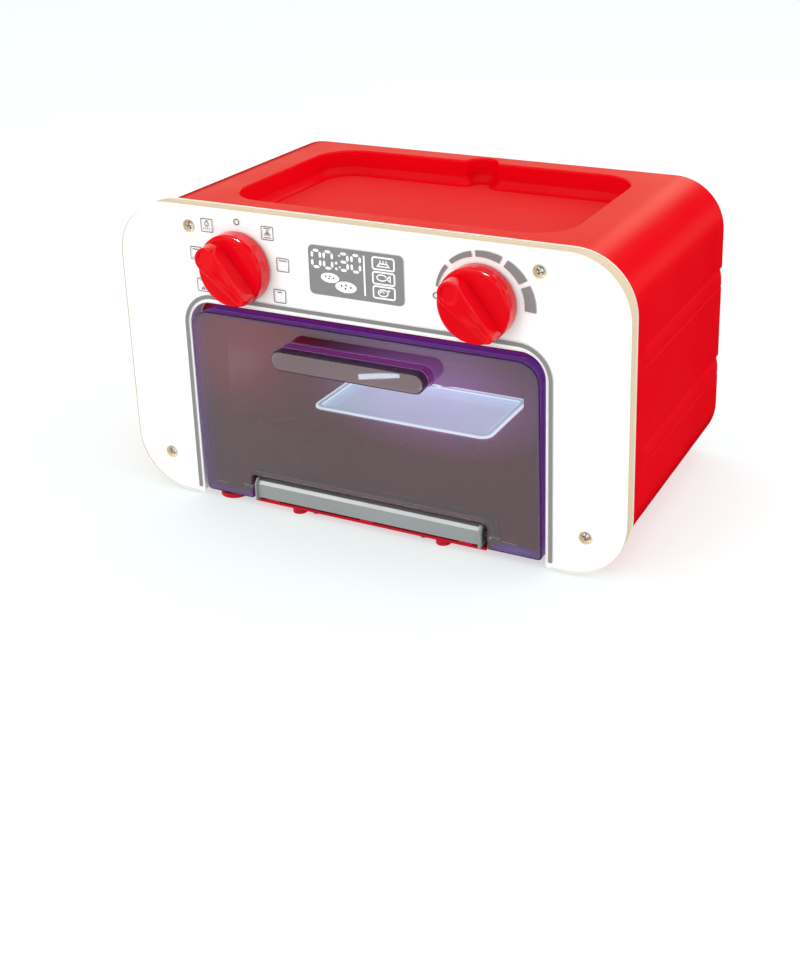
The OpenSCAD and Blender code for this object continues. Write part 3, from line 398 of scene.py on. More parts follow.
# The door's face. Its emission is painted light: a faint glow all over and soft painted glows,
# reddish at the upper left, blue low on the right and violet in the upper middle.
smoked("smoked_plastic", srgb(152, 144, 152), srgb(144, 136, 144), 1.0, (0.008, 0.002, 0.004, 1),
       ((-85, 105, 75, 60, (0.060, 0.006, 0.014, 1)), (97, 8, 18, 4, (0.02, 0.015, 0.10, 1)),
        (45, 96, 95, 46, (0.095, 0.045, 0.150, 1))))
# The door's walls and inner rim: violet, with a violet emission, painted light from the oven's lamp
# glowing in the walls.
smoked("smoked_wall_painted_glow", srgb(124, 62, 158), srgb(112, 54, 146), 0.6, (0.035, 0.006, 0.075, 1))
# The handle's root and its hollow: magenta, with a magenta emission, a painted glow.
smoked("smoked_grip_painted_glow", srgb(96, 40, 104), srgb(84, 34, 92), 0.5, (0.075, 0.012, 0.075, 1))
# The handle's solid front: darker and less clear for its thickness, with a weak painted glow.
smoked("smoked_thick", srgb(112, 92, 96), srgb(100, 82, 86), 0.3, (0.02, 0.012, 0.014, 1))
# The round front edges of the face and the handle: dark, a painted dark line along the edges, with
# a faint painted glow.
smoked("smoked_painted_dark_edge", srgb(60, 52, 54), srgb(50, 44, 46), 0.6, (0.006, 0.002, 0.009, 1))
# A thin ring round the handle: pale, with a pale emission, a painted highlight line.
smoked("smoked_painted_highlight_line", srgb(150, 120, 160), srgb(140, 112, 150), 0.3, (0.10, 0.06, 0.14, 1))
moulded("knob_plastic", (0.73, 0.0004, 0.007, 1), (0.70, 0.0002, 0.006, 1), rough=(0.09, 0.15))
moulded("grey_plastic", srgb(146, 150, 150), srgb(140, 144, 144), rough=(0.34, 0.46), grain=0.05,
        grain_scale=700)
moulded("black_plastic", (0.03, 0.03, 0.032, 1), (0.02, 0.02, 0.022, 1))
metal("steel", (0.72, 0.71, 0.69, 1))
moulded("circuit_board", (0.02, 0.13, 0.05, 1), (0.015, 0.10, 0.04, 1), rough=(0.3, 0.5),
        grain_scale=900)
moulded("led_lens", (0.85, 0.87, 0.95, 1), (0.8, 0.82, 0.9, 1), rough=(0.08, 0.15))
metal("spring_brass", (0.75, 0.52, 0.22, 1))
metal("copper", (0.80, 0.38, 0.22, 1), scale=900)
metal("speaker_metal", (0.20, 0.20, 0.21, 1), rough=(0.35, 0.5))
moulded("speaker_paper", (0.03, 0.03, 0.03, 1), (0.02, 0.02, 0.02, 1), rough=(0.8, 0.95),
        grain=0.5, grain_scale=700)
moulded("battery_can", (0.10, 0.11, 0.13, 1), (0.07, 0.08, 0.10, 1), rough=(0.25, 0.35))
metal("contact_steel", (0.72, 0.70, 0.64, 1))
moulded("red_wire", (0.6, 0.01, 0.01, 1), (0.5, 0.01, 0.01, 1), rough=(0.4, 0.5))
moulded("white_wire", (0.8, 0.8, 0.78, 1), (0.7, 0.7, 0.68, 1), rough=(0.4, 0.5))
moulded("black_wire", (0.03, 0.03, 0.03, 1), (0.02, 0.02, 0.02, 1), rough=(0.4, 0.5))
print_ink("print_ink", srgb(132, 129, 128), srgb(139, 136, 135))
print_ink("print_dark", srgb(58, 56, 58), srgb(70, 67, 68))
moulded("print_white", (0.98, 0.98, 0.98, 1), (0.95, 0.95, 0.95, 1), rough=(0.4, 0.5))


# ---- Mesh helpers ----------------------------------------------------------------------------

def quarter(steps):
    """What 1 lacks to the sine and to the cosine, at even steps of a quarter turn."""
    turns = [math.pi / 2 * k / steps for k in range(steps + 1)]
    return [(1 - math.sin(a), 1 - math.cos(a)) for a in turns]


def shade(piece, angle):
    piece.data.shade_smooth()
    piece.data.set_sharp_from_angle(angle=math.radians(angle))
    weighted = piece.modifiers.new("weighted", "WEIGHTED_NORMAL")
    weighted.keep_sharp = True


def piece(name, verts, faces, material, body, slot=None, replaces=(), angle=40, move=None,
          materials=()):
    """A mesh object from points in mm, on its body, with its finish. materials are those of the
    face slots from 1 on."""
    mesh = bpy.data.meshes.new(name)
    points = [at(*(move @ Vector(v) if move else v)) for v in verts]
    mesh.from_pydata(points, [], faces)
    mesh.validate()
    mesh.update()
    made = bpy.data.objects.new(name, mesh)
    bpy.context.scene.collection.objects.link(made)
    mesh.materials.append(MAT[material])
    for more in materials:
        mesh.materials.append(MAT[more])
    shade(made, angle)
    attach(made, body)
    slot or material
    if replaces:
        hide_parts(*replaces)
    return made


def outline(corners, inset=0.0, steps=12):
    """Points of a closed outline of round corners (x, z, radius), drawn inset. Corners go
    anticlockwise, and each has the same number of points at any inset."""
    count = len(corners)
    points = []
    for k, (x, z, radius) in enumerate(corners):
        here = Vector((x, z))
        before = Vector(corners[k - 1][:2])
        after = Vector(corners[(k + 1) % count][:2])
        a = (here - before).normalized()
        b = (after - here).normalized()
        n1, n2 = Vector((-a.y, a.x)), Vector((-b.y, b.x))
        turn = math.atan2(a.x * b.y - a.y * b.x, a.dot(b))
        mean = (n1 + n2) / (1 + n1.dot(n2))
        convex = turn > 0
        r = max(radius - inset, 0.02) if convex else radius + inset
        side = 1 if convex else -1
        centre = here + mean * inset + mean * r * side
        for step in range(steps + 1):
            swing = turn * step / steps
            c, s = math.cos(swing), math.sin(swing)
            n = Vector((n1.x * c - n1.y * s, n1.x * s + n1.y * c))
            points.append(tuple(centre - n * r * side))
    return points


def circle(x, z, radius, count=48):
    return [(x + radius * math.cos(2 * math.pi * k / count),
             z + radius * math.sin(2 * math.pi * k / count)) for k in range(count)]


class Build:
    """Collects points and faces."""

    def __init__(self):
        self.verts, self.faces, self.slots = [], [], []

    def ring(self, points):
        start = len(self.verts)
        self.verts.extend(points)
        return list(range(start, len(self.verts)))

    def face(self, ids, slot=0):
        self.faces.append(tuple(ids))
        self.slots.append(slot)

    def bridge(self, a, b, closed=True, flip=False, slot=0):
        count = len(a)
        for k in range(count if closed else count - 1):
            m = (k + 1) % count
            quad = (a[k], a[m], b[m], b[k])
            self.face(quad[::-1] if flip else quad, slot)

    def cap(self, rings, flip=False, slot=0):
        """Fills between an outer ring and holes, all in one plane."""
        flat = [[Vector(self.verts[i]) for i in ring] for ring in rings]
        ids = [i for ring in rings for i in ring]
        wanted = self.normal(rings[0])
        for tri in tessellate_polygon(flat):
            tri = [ids[i] for i in tri]
            a, b, c = (Vector(self.verts[i]) for i in tri)
            n = (b - a).cross(c - a)
            if n.length < 1e-9:
                continue
            if (n.dot(wanted) < 0) != flip:
                tri.reverse()
            self.face(tri, slot)

    def normal(self, ring):
        points = [Vector(self.verts[i]) for i in ring]
        total = Vector((0, 0, 0))
        for k, p in enumerate(points):
            total += p.cross(points[(k + 1) % len(points)])
        return total

    def piece(self, name, material, body, **options):
        made = piece(name, self.verts, self.faces, material, body, **options)
        if any(self.slots) and len(made.data.polygons) == len(self.slots):
            made.data.polygons.foreach_set("material_index", self.slots)
        return made


def round_levels(y0, y1, edge):
    """(y, inset) pairs for a plate between y0 and y1 with round edges."""
    return ([(y0 + edge * s, edge * c) for s, c in quarter(4)]
            + [(y1 - edge * c, edge * s) for s, c in quarter(4)])


def plate(name, loops, levels, material, body, **options):
    """A plate in X and Z. loops(inset) gives its outer loop and then its holes, at an inset."""
    b = Build()
    rows = []
    for y, inset in levels:
        rows.append([b.ring([(x, y, z) for x, z in loop]) for loop in loops(inset)])
    for one, two in zip(rows, rows[1:]):
        for k, (a, c) in enumerate(zip(one, two)):
            b.bridge(a, c, flip=k == 0)
    b.cap(rows[0])
    b.cap(rows[-1], flip=True)
    made = b.piece(name, material, body, **options)
    tidy_normals(made)
    return made


def tidy_normals(made):
    work = bmesh.new()
    work.from_mesh(made.data)
    bmesh.ops.remove_doubles(work, verts=work.verts, dist=1e-6)
    bmesh.ops.recalc_face_normals(work, faces=work.faces)
    work.to_mesh(made.data)
    work.free()
    made.data.shade_smooth()
    made.data.set_sharp_from_angle(angle=math.radians(40))


def lathe(b, profile, place, count):
    """Turns (radius, y) points about a line along Y through place (x, z)."""
    rings = []
    for radius, y in profile:
        rings.append(b.ring([(place[0] + radius * math.sin(2 * math.pi * k / count), y,
                              place[1] + radius * math.cos(2 * math.pi * k / count))
                             for k in range(count)]))
    for one, two in zip(rings, rings[1:]):
        b.bridge(one, two)


# ---- Front panel -----------------------------------------------------------------------------

PANEL_X, PANEL_FOOT, PANEL_R = 160, 1.4, 35
ARCH_X, ARCH_TOP, ARCH_R = 113.2, 127.4, 14.5
PANEL = [(-PANEL_X, PANEL_FOOT, PANEL_R), (-ARCH_X, PANEL_FOOT, 2), (-ARCH_X, ARCH_TOP, ARCH_R),
         (ARCH_X, ARCH_TOP, ARCH_R), (ARCH_X, PANEL_FOOT, 2), (PANEL_X, PANEL_FOOT, PANEL_R),
         (PANEL_X, PANEL_TOP, PANEL_R), (-PANEL_X, PANEL_TOP, PANEL_R)]
SCREWS = [(-109.4, 173.1), (109.4, 173.1), (-136.4, 24.7), (136.4, 24.7)]
SCREW_HOLE_R, SHAFT_HOLE_R = 3.65, 5.3
SCREW_SEAT = 3.2                            # depth of the counterbores


def panel_loops(inset):
    loops = [outline(PANEL, inset, 20)]
    for x, z in SCREWS:
        loops.append(circle(x, z, SCREW_HOLE_R + inset * 0.5))
    for side in (-1, 1):
        loops.append(circle(side * KNOB_X, KNOB_Z, SHAFT_HOLE_R + inset * 0.5))
    return loops


plate("front_panel_wood", panel_loops, round_levels(0, PANEL_T, 0.7), "painted_plywood", "oven",
      replaces=["front_panel"])


def counterbores():
    b = Build()
    for x, z in SCREWS:
        lathe(b, [(3.66, 0.4), (3.64, 3.1), (3.5, SCREW_SEAT), (1.9, SCREW_SEAT), (1.9, 6)],
              (x, z), 48)
    made = b.piece("counterbores", "bare_wood_painted_light", "oven", slot="painted_plywood")
    HOLES_SEEN.objects.link(made)
    tidy_normals(made)


counterbores()


def screw_heads():
    """Pan heads with a cross recess, deep in the counterbores."""
    b = Build()
    count, head_r = 48, 2.55
    for (x, z), turn in zip(SCREWS, (20, 65, 38, 80)):
        q = math.radians(turn)
        rows = []
        for radius in (head_r, 2.5, 2.3, 2.0, 1.75, 1.5, 1.2, 0.9, 0.6, 0.3):
            row = []
            for k in range(count):
                a = 2 * math.pi * k / count
                px, pz = radius * math.cos(a), radius * math.sin(a)
                dome = 0.75 * math.sqrt(max(1 - (radius / 2.6) ** 2, 0))
                u, v = px * math.cos(q) + pz * math.sin(q), pz * math.cos(q) - px * math.sin(q)
                arm = min(abs(u), abs(v))
                cross = max(0.0, min(1.0, (0.52 - arm) / 0.12)) * max(
                    0.0, min(1.0, (1.85 - max(abs(u), abs(v))) / 0.3))
                row.append((x + px, SCREW_SEAT - 1.1 - dome + 1.15 * cross, z + pz))
            rows.append(b.ring(row))
        base = b.ring([(px, 3.15, pz) for px, pz in circle(x, z, head_r)])
        for one, two in zip([base] + rows, rows):
            b.bridge(one, two)
        b.face(rows[-1])
    made = b.piece("panel_screw_heads", "steel", "oven", replaces=["panel_screws"])
    tidy_normals(made)
    FRONT_SEEN.objects.link(made)


screw_heads()


# ---- Shell -----------------------------------------------------------------------------------

GROOVES = [61.6, 120.1]      # heights of the grooves' middles
GROOVE_H, GROOVE_Y = 13.4, 35.0


def groove_profile(t):
    """Depth of a groove from its lower edge, t = 0, to its upper edge, t = 1: its floor bulges,
    with a fine crease at its foot and a ledge at its top."""
    fall = min((1 - t) / 0.04, 1.0)
    crease = 0.4 * math.exp(-((t - 0.05) / 0.025) ** 2)
    rise = min(t / 0.02, 1.0)
    return (0.12 + 1.88 * t ** 3.4 + crease) * rise * fall * fall * (3 - 2 * fall)


def shell_rows():
    """The shell's outline, anticlockwise from the front: points and their groove depth."""
    rows = []
    low, high = SHELL_BOTTOM + SHELL_R, SHELL_TOP - SHELL_R
    side = SHELL_X - SHELL_R

    def arc(cx, cz, start):
        for k in range(17):
            a = math.radians(start + 90 * k / 16)
            rows.append((cx + SHELL_R * math.cos(a), cz + SHELL_R * math.sin(a), 0.0,
                         math.cos(a), math.sin(a)))

    rows.append((118.0, SHELL_BOTTOM, 0.0, 0.0, -1.0))
    arc(side, low, -90)
    for middle in GROOVES:
        for k in range(33):
            t = k / 32
            rows.append((SHELL_X, middle + (t - 0.5) * GROOVE_H, groove_profile(t), 1.0, 0.0))
    arc(side, high, 0)
    mirrored = [(-x, z, d, -nx, nz) for x, z, d, nx, nz in reversed(rows)]
    return rows, mirrored


RECESS_X, RECESS_L, RECESS_R, RECESS_DEPTH = 108.0, 65.85, 25.0, 16
RECESS_Y = 34.5 + RECESS_L                  # its middle


def recess_rim(grow, z):
    """The recess's rim as a closed ring: a rounded rectangle that runs softly into the finger
    notch. grow widens it all round."""
    w, l, r = RECESS_X + grow, RECESS_L + grow, RECESS_R + grow
    notch, soft = 10.8, 3.6
    notch_x = math.sqrt((notch + soft) ** 2 - soft ** 2)
    turn = math.atan2(soft, notch_x)
    soft_r = soft - grow
    points = []

    def swing(cx, cy, radius, start, end, count):
        for k in range(count + 1):
            a = start + (end - start) * k / count
            points.append((cx + radius * math.cos(a), cy + radius * math.sin(a)))

    swing(notch_x, l + soft_r, soft_r, math.pi + turn, 1.5 * math.pi, 8)
    for k in range(1, 20):
        points.append((notch_x + (w - r - notch_x) * k / 20, l))
    for sx, sy, start in ((1, 1, 90), (1, -1, 0), (-1, -1, -90), (-1, 1, -180)):
        swing(sx * (w - r), sy * (l - r), r, math.radians(start), math.radians(start - 90), 16)
    for k in range(1, 20):
        points.append((-(w - r) + (w - r - notch_x) * k / 20, l))
    swing(-notch_x, l + soft_r, soft_r, 1.5 * math.pi, 2 * math.pi - turn, 8)
    for k in range(1, 24):
        a = math.pi - turn + (2 * turn - math.pi) * k / 24
        points.append(((notch + grow) * math.cos(a), RECESS_L + (notch + grow) * math.sin(a)))
    return [(x, RECESS_Y + y, z) for x, y in points]


def shell():
    b = Build()
    right, left = shell_rows()
    edge, run_in = 1.8, 1.6
    columns = [PANEL_T, 20.0, 30.0]
    columns += [GROOVE_Y - run_in + run_in * k / 8 for k in range(9)]
    columns += [45.0, 70.0, 100.0, 130.0, 155.0, 175.0, SHELL_BACK - edge]

    def depth_at(y):
        t = min(max((y - GROOVE_Y + run_in) / run_in, 0.0), 1.0)
        return t * t * (3 - 2 * t)

    loop = right + left
    grid = []
    for y in columns:
        grid.append(b.ring([(x - nx * d * depth_at(y), y, z) for x, z, d, nx, nz in loop]))
    for k in range(1, 7):                   # the back's round edge
        a = math.pi / 2 * k / 6
        y, inset = SHELL_BACK - edge + edge * math.sin(a), edge * (1 - math.cos(a))
        grid.append(b.ring([(x - nx * (d + inset), y, z - nz * inset)
                            for x, z, d, nx, nz in loop]))
    top_gap = len(right) - 1                # between the right and left upper corners
    bottom_gap, open_to = len(loop) - 1, 174
    for j, (one, two) in enumerate(zip(grid, grid[1:])):
        for k in range(len(loop)):
            m = (k + 1) % len(loop)
            if k == top_gap and j < len(columns) - 1:
                continue
            if k == bottom_gap and columns[min(j, len(columns) - 1)] < open_to:
                continue
            b.face((one[k], two[k], two[m], one[m]))
    b.cap([grid[-1]], flip=False)
    # The top face round the recess.
    lip = 1.3
    rim = [b.ring(recess_rim(lip * s, SHELL_TOP - lip * c)) for s, c in quarter(5)]
    fillet = 6.0
    floor = SHELL_TOP - RECESS_DEPTH
    for s, c in quarter(10):
        rim.append(b.ring(recess_rim(-fillet * c, floor + fillet * s)))
    for one, two in zip(rim, rim[1:]):
        b.bridge(one, two)
    side_r = [grid[j][top_gap] for j in range(len(columns))]
    side_l = [grid[j][top_gap + 1] for j in range(len(columns))]
    b.cap([side_r + side_l[::-1], rim[0]])
    # The recess floor takes the paler red, a painted sheen.
    b.cap([rim[-1]], slot=1)
    made = b.piece("outer_shell_moulding", "red_plastic", "oven", replaces=["outer_shell"],
                   materials=["red_matt_painted_sheen"])
    tidy_normals(made)


shell()


# ---- Door ------------------------------------------------------------------------------------

DOOR_W, DOOR_TOP, DOOR_BOTTOM, DOOR_T = 110.9, 123.2, 4.7, 11.2
NOTCH_X, NOTCH_TOP = 77.7, 20.4
DOOR = [(-DOOR_W, DOOR_BOTTOM, 2.5), (-NOTCH_X, DOOR_BOTTOM, 1.2), (-NOTCH_X, NOTCH_TOP, 3),
        (NOTCH_X, NOTCH_TOP, 3), (NOTCH_X, DOOR_BOTTOM, 1.2), (DOOR_W, DOOR_BOTTOM, 2.5),
        (DOOR_W, DOOR_TOP, 13), (-DOOR_W, DOOR_TOP, 13)]
HANDLE_Z, HANDLE_W, HANDLE_H, HANDLE_REACH = 105.7, 97.4, 12.4, 12.8
AJAR_TURN = math.radians(1.5)
AJAR = (Matrix.Translation((0, ROD_Y, ROD_Z)) @ Matrix.Rotation(AJAR_TURN, 4, "X")
        @ Matrix.Translation((0, -ROD_Y, -ROD_Z)))


def handle_ring(inset, y):
    count = 16
    r = HANDLE_H / 2 - inset
    half = (HANDLE_W - HANDLE_H) / 2
    points = []
    for side, start in ((1, -90), (-1, 90)):
        for k in range(count + 1):
            a = math.radians(start + 180 * k / count)
            points.append((side * half + r * math.cos(a), y, HANDLE_Z + r * math.sin(a)))
    return points


def door():
    b = Build()
    foot_r = 6.5                            # the door's foot is round about the rod
    edge, wall, face, inner_r = 1.0, 2.0, 2.4, 1.0

    def back(z):
        if z >= ROD_Z:
            return DOOR_T
        return ROD_Y + math.sqrt(max(foot_r ** 2 - (ROD_Z - z) ** 2, 0.2))

    def ring(inset, y=None):
        return b.ring([(x, back(z) if y is None else y, z) for x, z in outline(DOOR, inset, 10)])

    outer = [ring(edge * s, edge * c) for s, c in quarter(6)]
    outer.append(ring(0))
    outer.append(ring(wall))
    inner = [outer[-1]]
    inner += [ring(wall + inner_r * c, face + inner_r * s) for s, c in quarter(4)]
    # The face's round edge takes the painted dark line (slot 4); the walls and the inner rim take
    # the painted violet glow (slot 1).
    for rows in (outer, inner):
        for k, (one, two) in enumerate(zip(rows, rows[1:])):
            b.bridge(one, two, slot=1 if rows is inner or k > 5 else 4)
    # The handle: hollow from behind, round at its front edges.
    soft = 1.0
    bar = [b.ring(handle_ring(-0.5, 0.0)), b.ring(handle_ring(-0.15, -0.15)),
           b.ring(handle_ring(0.0, -0.5)), b.ring(handle_ring(0.0, -6.6)),
           b.ring(handle_ring(0.0, -7.1))]
    bar += [b.ring(handle_ring(soft * c, -HANDLE_REACH + soft * s)) for s, c in quarter(5)]
    # The handle's root takes the painted magenta glow, then a thin painted highlight ring, then a
    # painted dark finish on its front half and round front edge.
    for k, (one, two) in enumerate(zip(bar, bar[1:])):
        b.bridge(one, two, slot=(2, 2, 2, 5, 4)[min(k, 4)])
    b.cap([bar[-1]], slot=3)
    skin = 2.4
    core = [b.ring(handle_ring(skin, face)), b.ring(handle_ring(skin, -HANDLE_REACH + 3.0)),
            b.ring(handle_ring(3.0, -HANDLE_REACH + skin))]
    # The hollow's walls take the painted magenta glow too.
    for one, two in zip(core, core[1:]):
        b.bridge(one, two, slot=2)
    b.cap([core[-1]], slot=3)
    b.cap([outer[0], bar[0]])
    b.cap([inner[-1], core[0]])
    made = b.piece("door_moulding", "smoked_plastic", "door", replaces=["door"], move=AJAR,
                   materials=["smoked_wall_painted_glow", "smoked_grip_painted_glow", "smoked_thick", "smoked_painted_dark_edge",
                              "smoked_painted_highlight_line"])
    clear_top, clear_x = 0.0250, 0.0830
    for side in made.data.polygons:         # the walls round the notch are as clear as the face
        if side.center.z < clear_top and abs(side.center.x) < clear_x:
            side.material_index = 0
    tidy_normals(made)
    FRONT_SEEN.objects.link(made)


door()


# ---- Knobs -----------------------------------------------------------------------------------

KNOB_REST = math.radians(-45)


def grip_ring(spread, rise):
    """The grip's outline grown by spread, as (x, u) with the axis point that each belongs to.
    It tapers as rise goes from 0 to 1."""
    count = 44
    wide_r, wide_u = 8.0 - 0.7 * rise + spread, 12.0
    tail_r, tail_u = 4.3 - 1.3 * rise + spread, -17.0 - 0.9 * rise
    lean = math.asin((wide_r - tail_r) / (wide_u - tail_u))
    points = []
    for k in range(count + 1):              # round the wide end, right to left
        a = lean * -1 + (math.pi + 2 * lean) * k / count
        points.append((wide_r * math.cos(a), wide_u + wide_r * math.sin(a), wide_u))
    for k in range(1, 24):
        t = k / 24
        a = math.pi + lean
        x0, u0 = wide_r * math.cos(a), wide_u + wide_r * math.sin(a)
        x1, u1 = tail_r * math.cos(a), tail_u + tail_r * math.sin(a)
        points.append((x0 + (x1 - x0) * t, u0 + (u1 - u0) * t, wide_u + (tail_u - wide_u) * t))
    for k in range(count // 2 + 1):
        a = math.pi + lean + (math.pi - 2 * lean) * k / (count // 2)
        points.append((tail_r * math.cos(a), tail_u + tail_r * math.sin(a), tail_u))
    for k in range(1, 24):
        t = k / 24
        a = -lean
        x0, u0 = tail_r * math.cos(a), tail_u + tail_r * math.sin(a)
        x1, u1 = wide_r * math.cos(a), wide_u + wide_r * math.sin(a)
        points.append((x0 + (x1 - x0) * t, u0 + (u1 - u0) * t, tail_u + (wide_u - tail_u) * t))
    return points


def grip_face(x, u):
    """How far the grip's face is sunk at a point: a scoop towards the tail, and a round dish at
    the wide end whose floor leans."""
    t = min(max((4.0 - u) / 20.0, 0.0), 1.0)
    half = 4.4 - 2.0 * t
    s = min(abs(x) / half, 1.0)
    ends = min(max((u + 20.5) / 9.0, 0.0), 1.0)
    scoop = 1.5 * (t * t * (3 - 2 * t)) ** 0.7 * (1 - s * s) ** 1.5 * ends * (2 - ends)
    q = math.hypot(x, u - 12.4) / 5.0
    dish = (0.45 + 0.05 * (u - 12.4) - 0.03 * x) * min((1 - q) / 0.08, 1.0) if q < 1 else 0.0
    return max(scoop, dish)


def knob(name, side, body):
    b = Build()
    front, tall, disc_r, soft = 10.8, 20.3, 21.4, 2.2
    profile = [(6.0, -0.6), (disc_r - 0.6, -0.6), (disc_r, -1.2)]
    profile += [(disc_r - soft * c, -front + soft * s) for s, c in quarter(6)]
    profile += [(12.0, -front), (0.05, -front)]
    lathe(b, profile, (0, 0), 128)
    rings = []
    limit = disc_r - 0.35

    def put(spread, y, shrink=0.0, sink=False):
        """Adds a ring of the grip; with sink it lies on the hollowed face."""
        points = []
        rise = min(max((-front - y) / (tall - front), 0.0), 1.0)
        for x, u, axis in grip_ring(spread, rise):
            x, u = x * (1 - shrink), axis + (u - axis) * (1 - shrink)
            r = math.hypot(x, u)
            if r > limit and not sink:
                x, u = x * limit / r, u * limit / r
            points.append((x, y + (grip_face(x, u) if sink else 0.0), u))
        rings.append(b.ring(points))

    for k in range(6):
        put(0.0, -front + 0.3 - 1.7 * k)
    soft = 0.8
    for k, (s, c) in enumerate(quarter(5)):
        put(-soft * c, -tall + soft * s, sink=k > 4)
    for k in range(1, 26):
        put(-soft, -tall, k / 26, True)
    for one, two in zip(rings, rings[1:]):
        b.bridge(one, two)
    b.cap([rings[-1]])
    move = (Matrix.Translation((side * KNOB_X, 0, KNOB_Z))
            @ Matrix.Rotation(KNOB_REST, 4, "Y"))
    made = b.piece(name + "_moulding", "knob_plastic", body, slot="red_plastic",
                   replaces=[name], move=move)
    tidy_normals(made)
    KNOBS_SEEN.objects.link(made)
    (LEFT_SEEN if side < 0 else RIGHT_SEEN).objects.link(made)


knob("left_knob", -1, "left_knob")
knob("right_knob", 1, "right_knob")


# ---- Hinge cover and lit tray ----------------------------------------------------------------

def hinge_cover():
    b = Build()
    half, end_r = 75.2, 1.8
    corners = [(-2.5, 5.2, 0.6), (10.9, 5.2, 0.6), (10.9, 19.2, 2.0), (0.1, 19.2, 0.8),
               (-2.5, 16.3, 0.8)]
    rings = [(-half + end_r * s, end_r * c) for s, c in quarter(5)]
    rings += [(-x, inset) for x, inset in reversed(rings)]
    rings = [b.ring([(x, y, z) for y, z in outline(corners, inset, 8)]) for x, inset in rings]
    for one, two in zip(rings, rings[1:]):
        b.bridge(one, two)
    b.cap([rings[0]])
    b.cap([rings[-1]], flip=True)
    made = b.piece("hinge_cover_bar", "grey_plastic", "oven", replaces=["hinge_cover"])
    tidy_normals(made)
    BAR_SEEN.objects.link(made)


hinge_cover()


def lit_tray():
    b = Build()
    half_x, half_y, corner_r = 60, 31, 7
    middle, foot, floor, top = 43.7 + half_y, 50.4, 47.4, 51.4
    edge, foot_r = 0.5, 1.4

    def ring(inset, z):
        near, far = middle - half_y, middle + half_y
        corners = [(-half_x, near, corner_r), (half_x, near, corner_r), (half_x, far, corner_r),
                   (-half_x, far, corner_r)]
        return b.ring([(x, y, z) for x, y in outline(corners, inset, 10)])

    rows = [ring(0.0, foot)]
    rows += [ring(edge * c, top - edge * s) for s, c in quarter(4)]
    rows += [ring(1.5, top), ring(4.0, top), ring(4.4, top - 0.2), ring(4.6, top - 0.6)]
    rows += [ring(4.8 + foot_r * c, floor + foot_r * s) for s, c in quarter(5)]
    for k, (one, two) in enumerate(zip(rows, rows[1:])):
        b.bridge(one, two, slot=int(k in (0, 1, 2, 3, 4, 5, 7, 8)))
    b.cap([rows[-1]])
    made = b.piece("light_diffuser_tray", "milky_plastic", "oven", replaces=["light_diffuser"],
                   materials=["milky_rim"])
    tidy_normals(made)


lit_tray()


# ---- Prints on the panel ---------------------------------------------------------------------

PRINT_Y = -0.04


def ribbon(b, points, width, closed=False, y=PRINT_Y):
    """A flat line of a given width along points (x, z)."""
    count = len(points)
    sides = ([], [])
    for k, (x, z) in enumerate(points):
        before = Vector(points[k - 1] if closed or k else points[k])
        after = Vector(points[(k + 1) % count] if closed or k < count - 1 else points[k])
        here = Vector((x, z))
        d1 = (here - before).normalized() if (here - before).length else None
        d2 = (after - here).normalized() if (after - here).length else None
        d1, d2 = d1 or d2, d2 or d1
        n1, n2 = Vector((-d1.y, d1.x)), Vector((-d2.y, d2.x))
        n = (n1 + n2) / max(1 + n1.dot(n2), 0.4)
        for side, sign in zip(sides, (1, -1)):
            p = here + n * width / 2 * sign
            side.append((p.x, y, p.y))
    b.bridge(b.ring(sides[0]), b.ring(sides[1]), closed=closed)


def blob(b, points, y=PRINT_Y):
    """A flat filled shape with the outline (x, z)."""
    b.cap([b.ring([(x, y, z) for x, z in points])])


def oval(x, z, w, h, half_count, count=None):
    """Points on an oval, half_count of them on each half; count stops it early."""
    return [(x + w * math.cos(math.pi * k / half_count), z + h * math.sin(math.pi * k / half_count))
            for k in range(count or 2 * half_count)]


def prints():
    grey, dark, white = Build(), Build(), Build()
    low, high = 5.0, 131.1
    frame_line = outline([(116.1, low, 0.1), (116.1, high, 19), (-116.1, high, 19),
                          (-116.1, low, 0.1), (0, -40, 0.1)], 0, 20)[21:63]
    ribbon(grey, [(116.1, low)] + frame_line + [(-116.1, low)], 2.3)
    # Left dial: a small ring and six pictures of ways to heat.
    ribbon(dark, circle(-75.8, 179.2, 1.65, 32), 0.5, closed=True)
    for cx, cz, kind in ((-96.4, 174.9, "lamp"), (-55.5, 174.8, "fan"), (-105.2, 157.2, "both"),
                         (-46.4, 157.2, "grill"), (-102.1, 138.2, "heat"),
                         (-49.6, 138.2, "small")):
        picture(dark, cx, cz, kind)
    # Right dial: a small ring, then an arc in five growing parts.
    ribbon(dark, circle(49.7, 152.1, 1.65, 32), 0.5, closed=True)
    for start, end in ((-79, -48), (-40.5, -10.5), (-5.5, 25.5), (32, 60.5), (66, 95)):
        rims = []
        for width, growth in ((1.3, 5.2), (0.0, 0.0)):      # the outer rim, then the inner one
            rim = []
            for k in range(25):
                turn = start + (end - start) * k / 24
                r, a = 25.5 + width + growth * (turn + 79) / 174, math.radians(turn)
                rim.append((75.95 + r * math.sin(a), PRINT_Y, 152.6 + 0.96 * r * math.cos(a)))
            rims.append(grey.ring(rim))
        grey.bridge(rims[0], rims[1], closed=False)
    # The display.
    box = [(-29.2, 143.0, 3), (30.3, 143.0, 3), (30.3, 171.7, 3), (-29.2, 171.7, 3)]
    blob(grey, outline(box, 0, 8))
    display(white, dark)
    for b, name, ink in ((grey, "panel_prints", "print_ink"), (dark, "dial_prints", "print_dark"),
                         (white, "display_prints", "print_white")):
        b.piece(name, ink, "oven", slot="painted_plywood", angle=80)


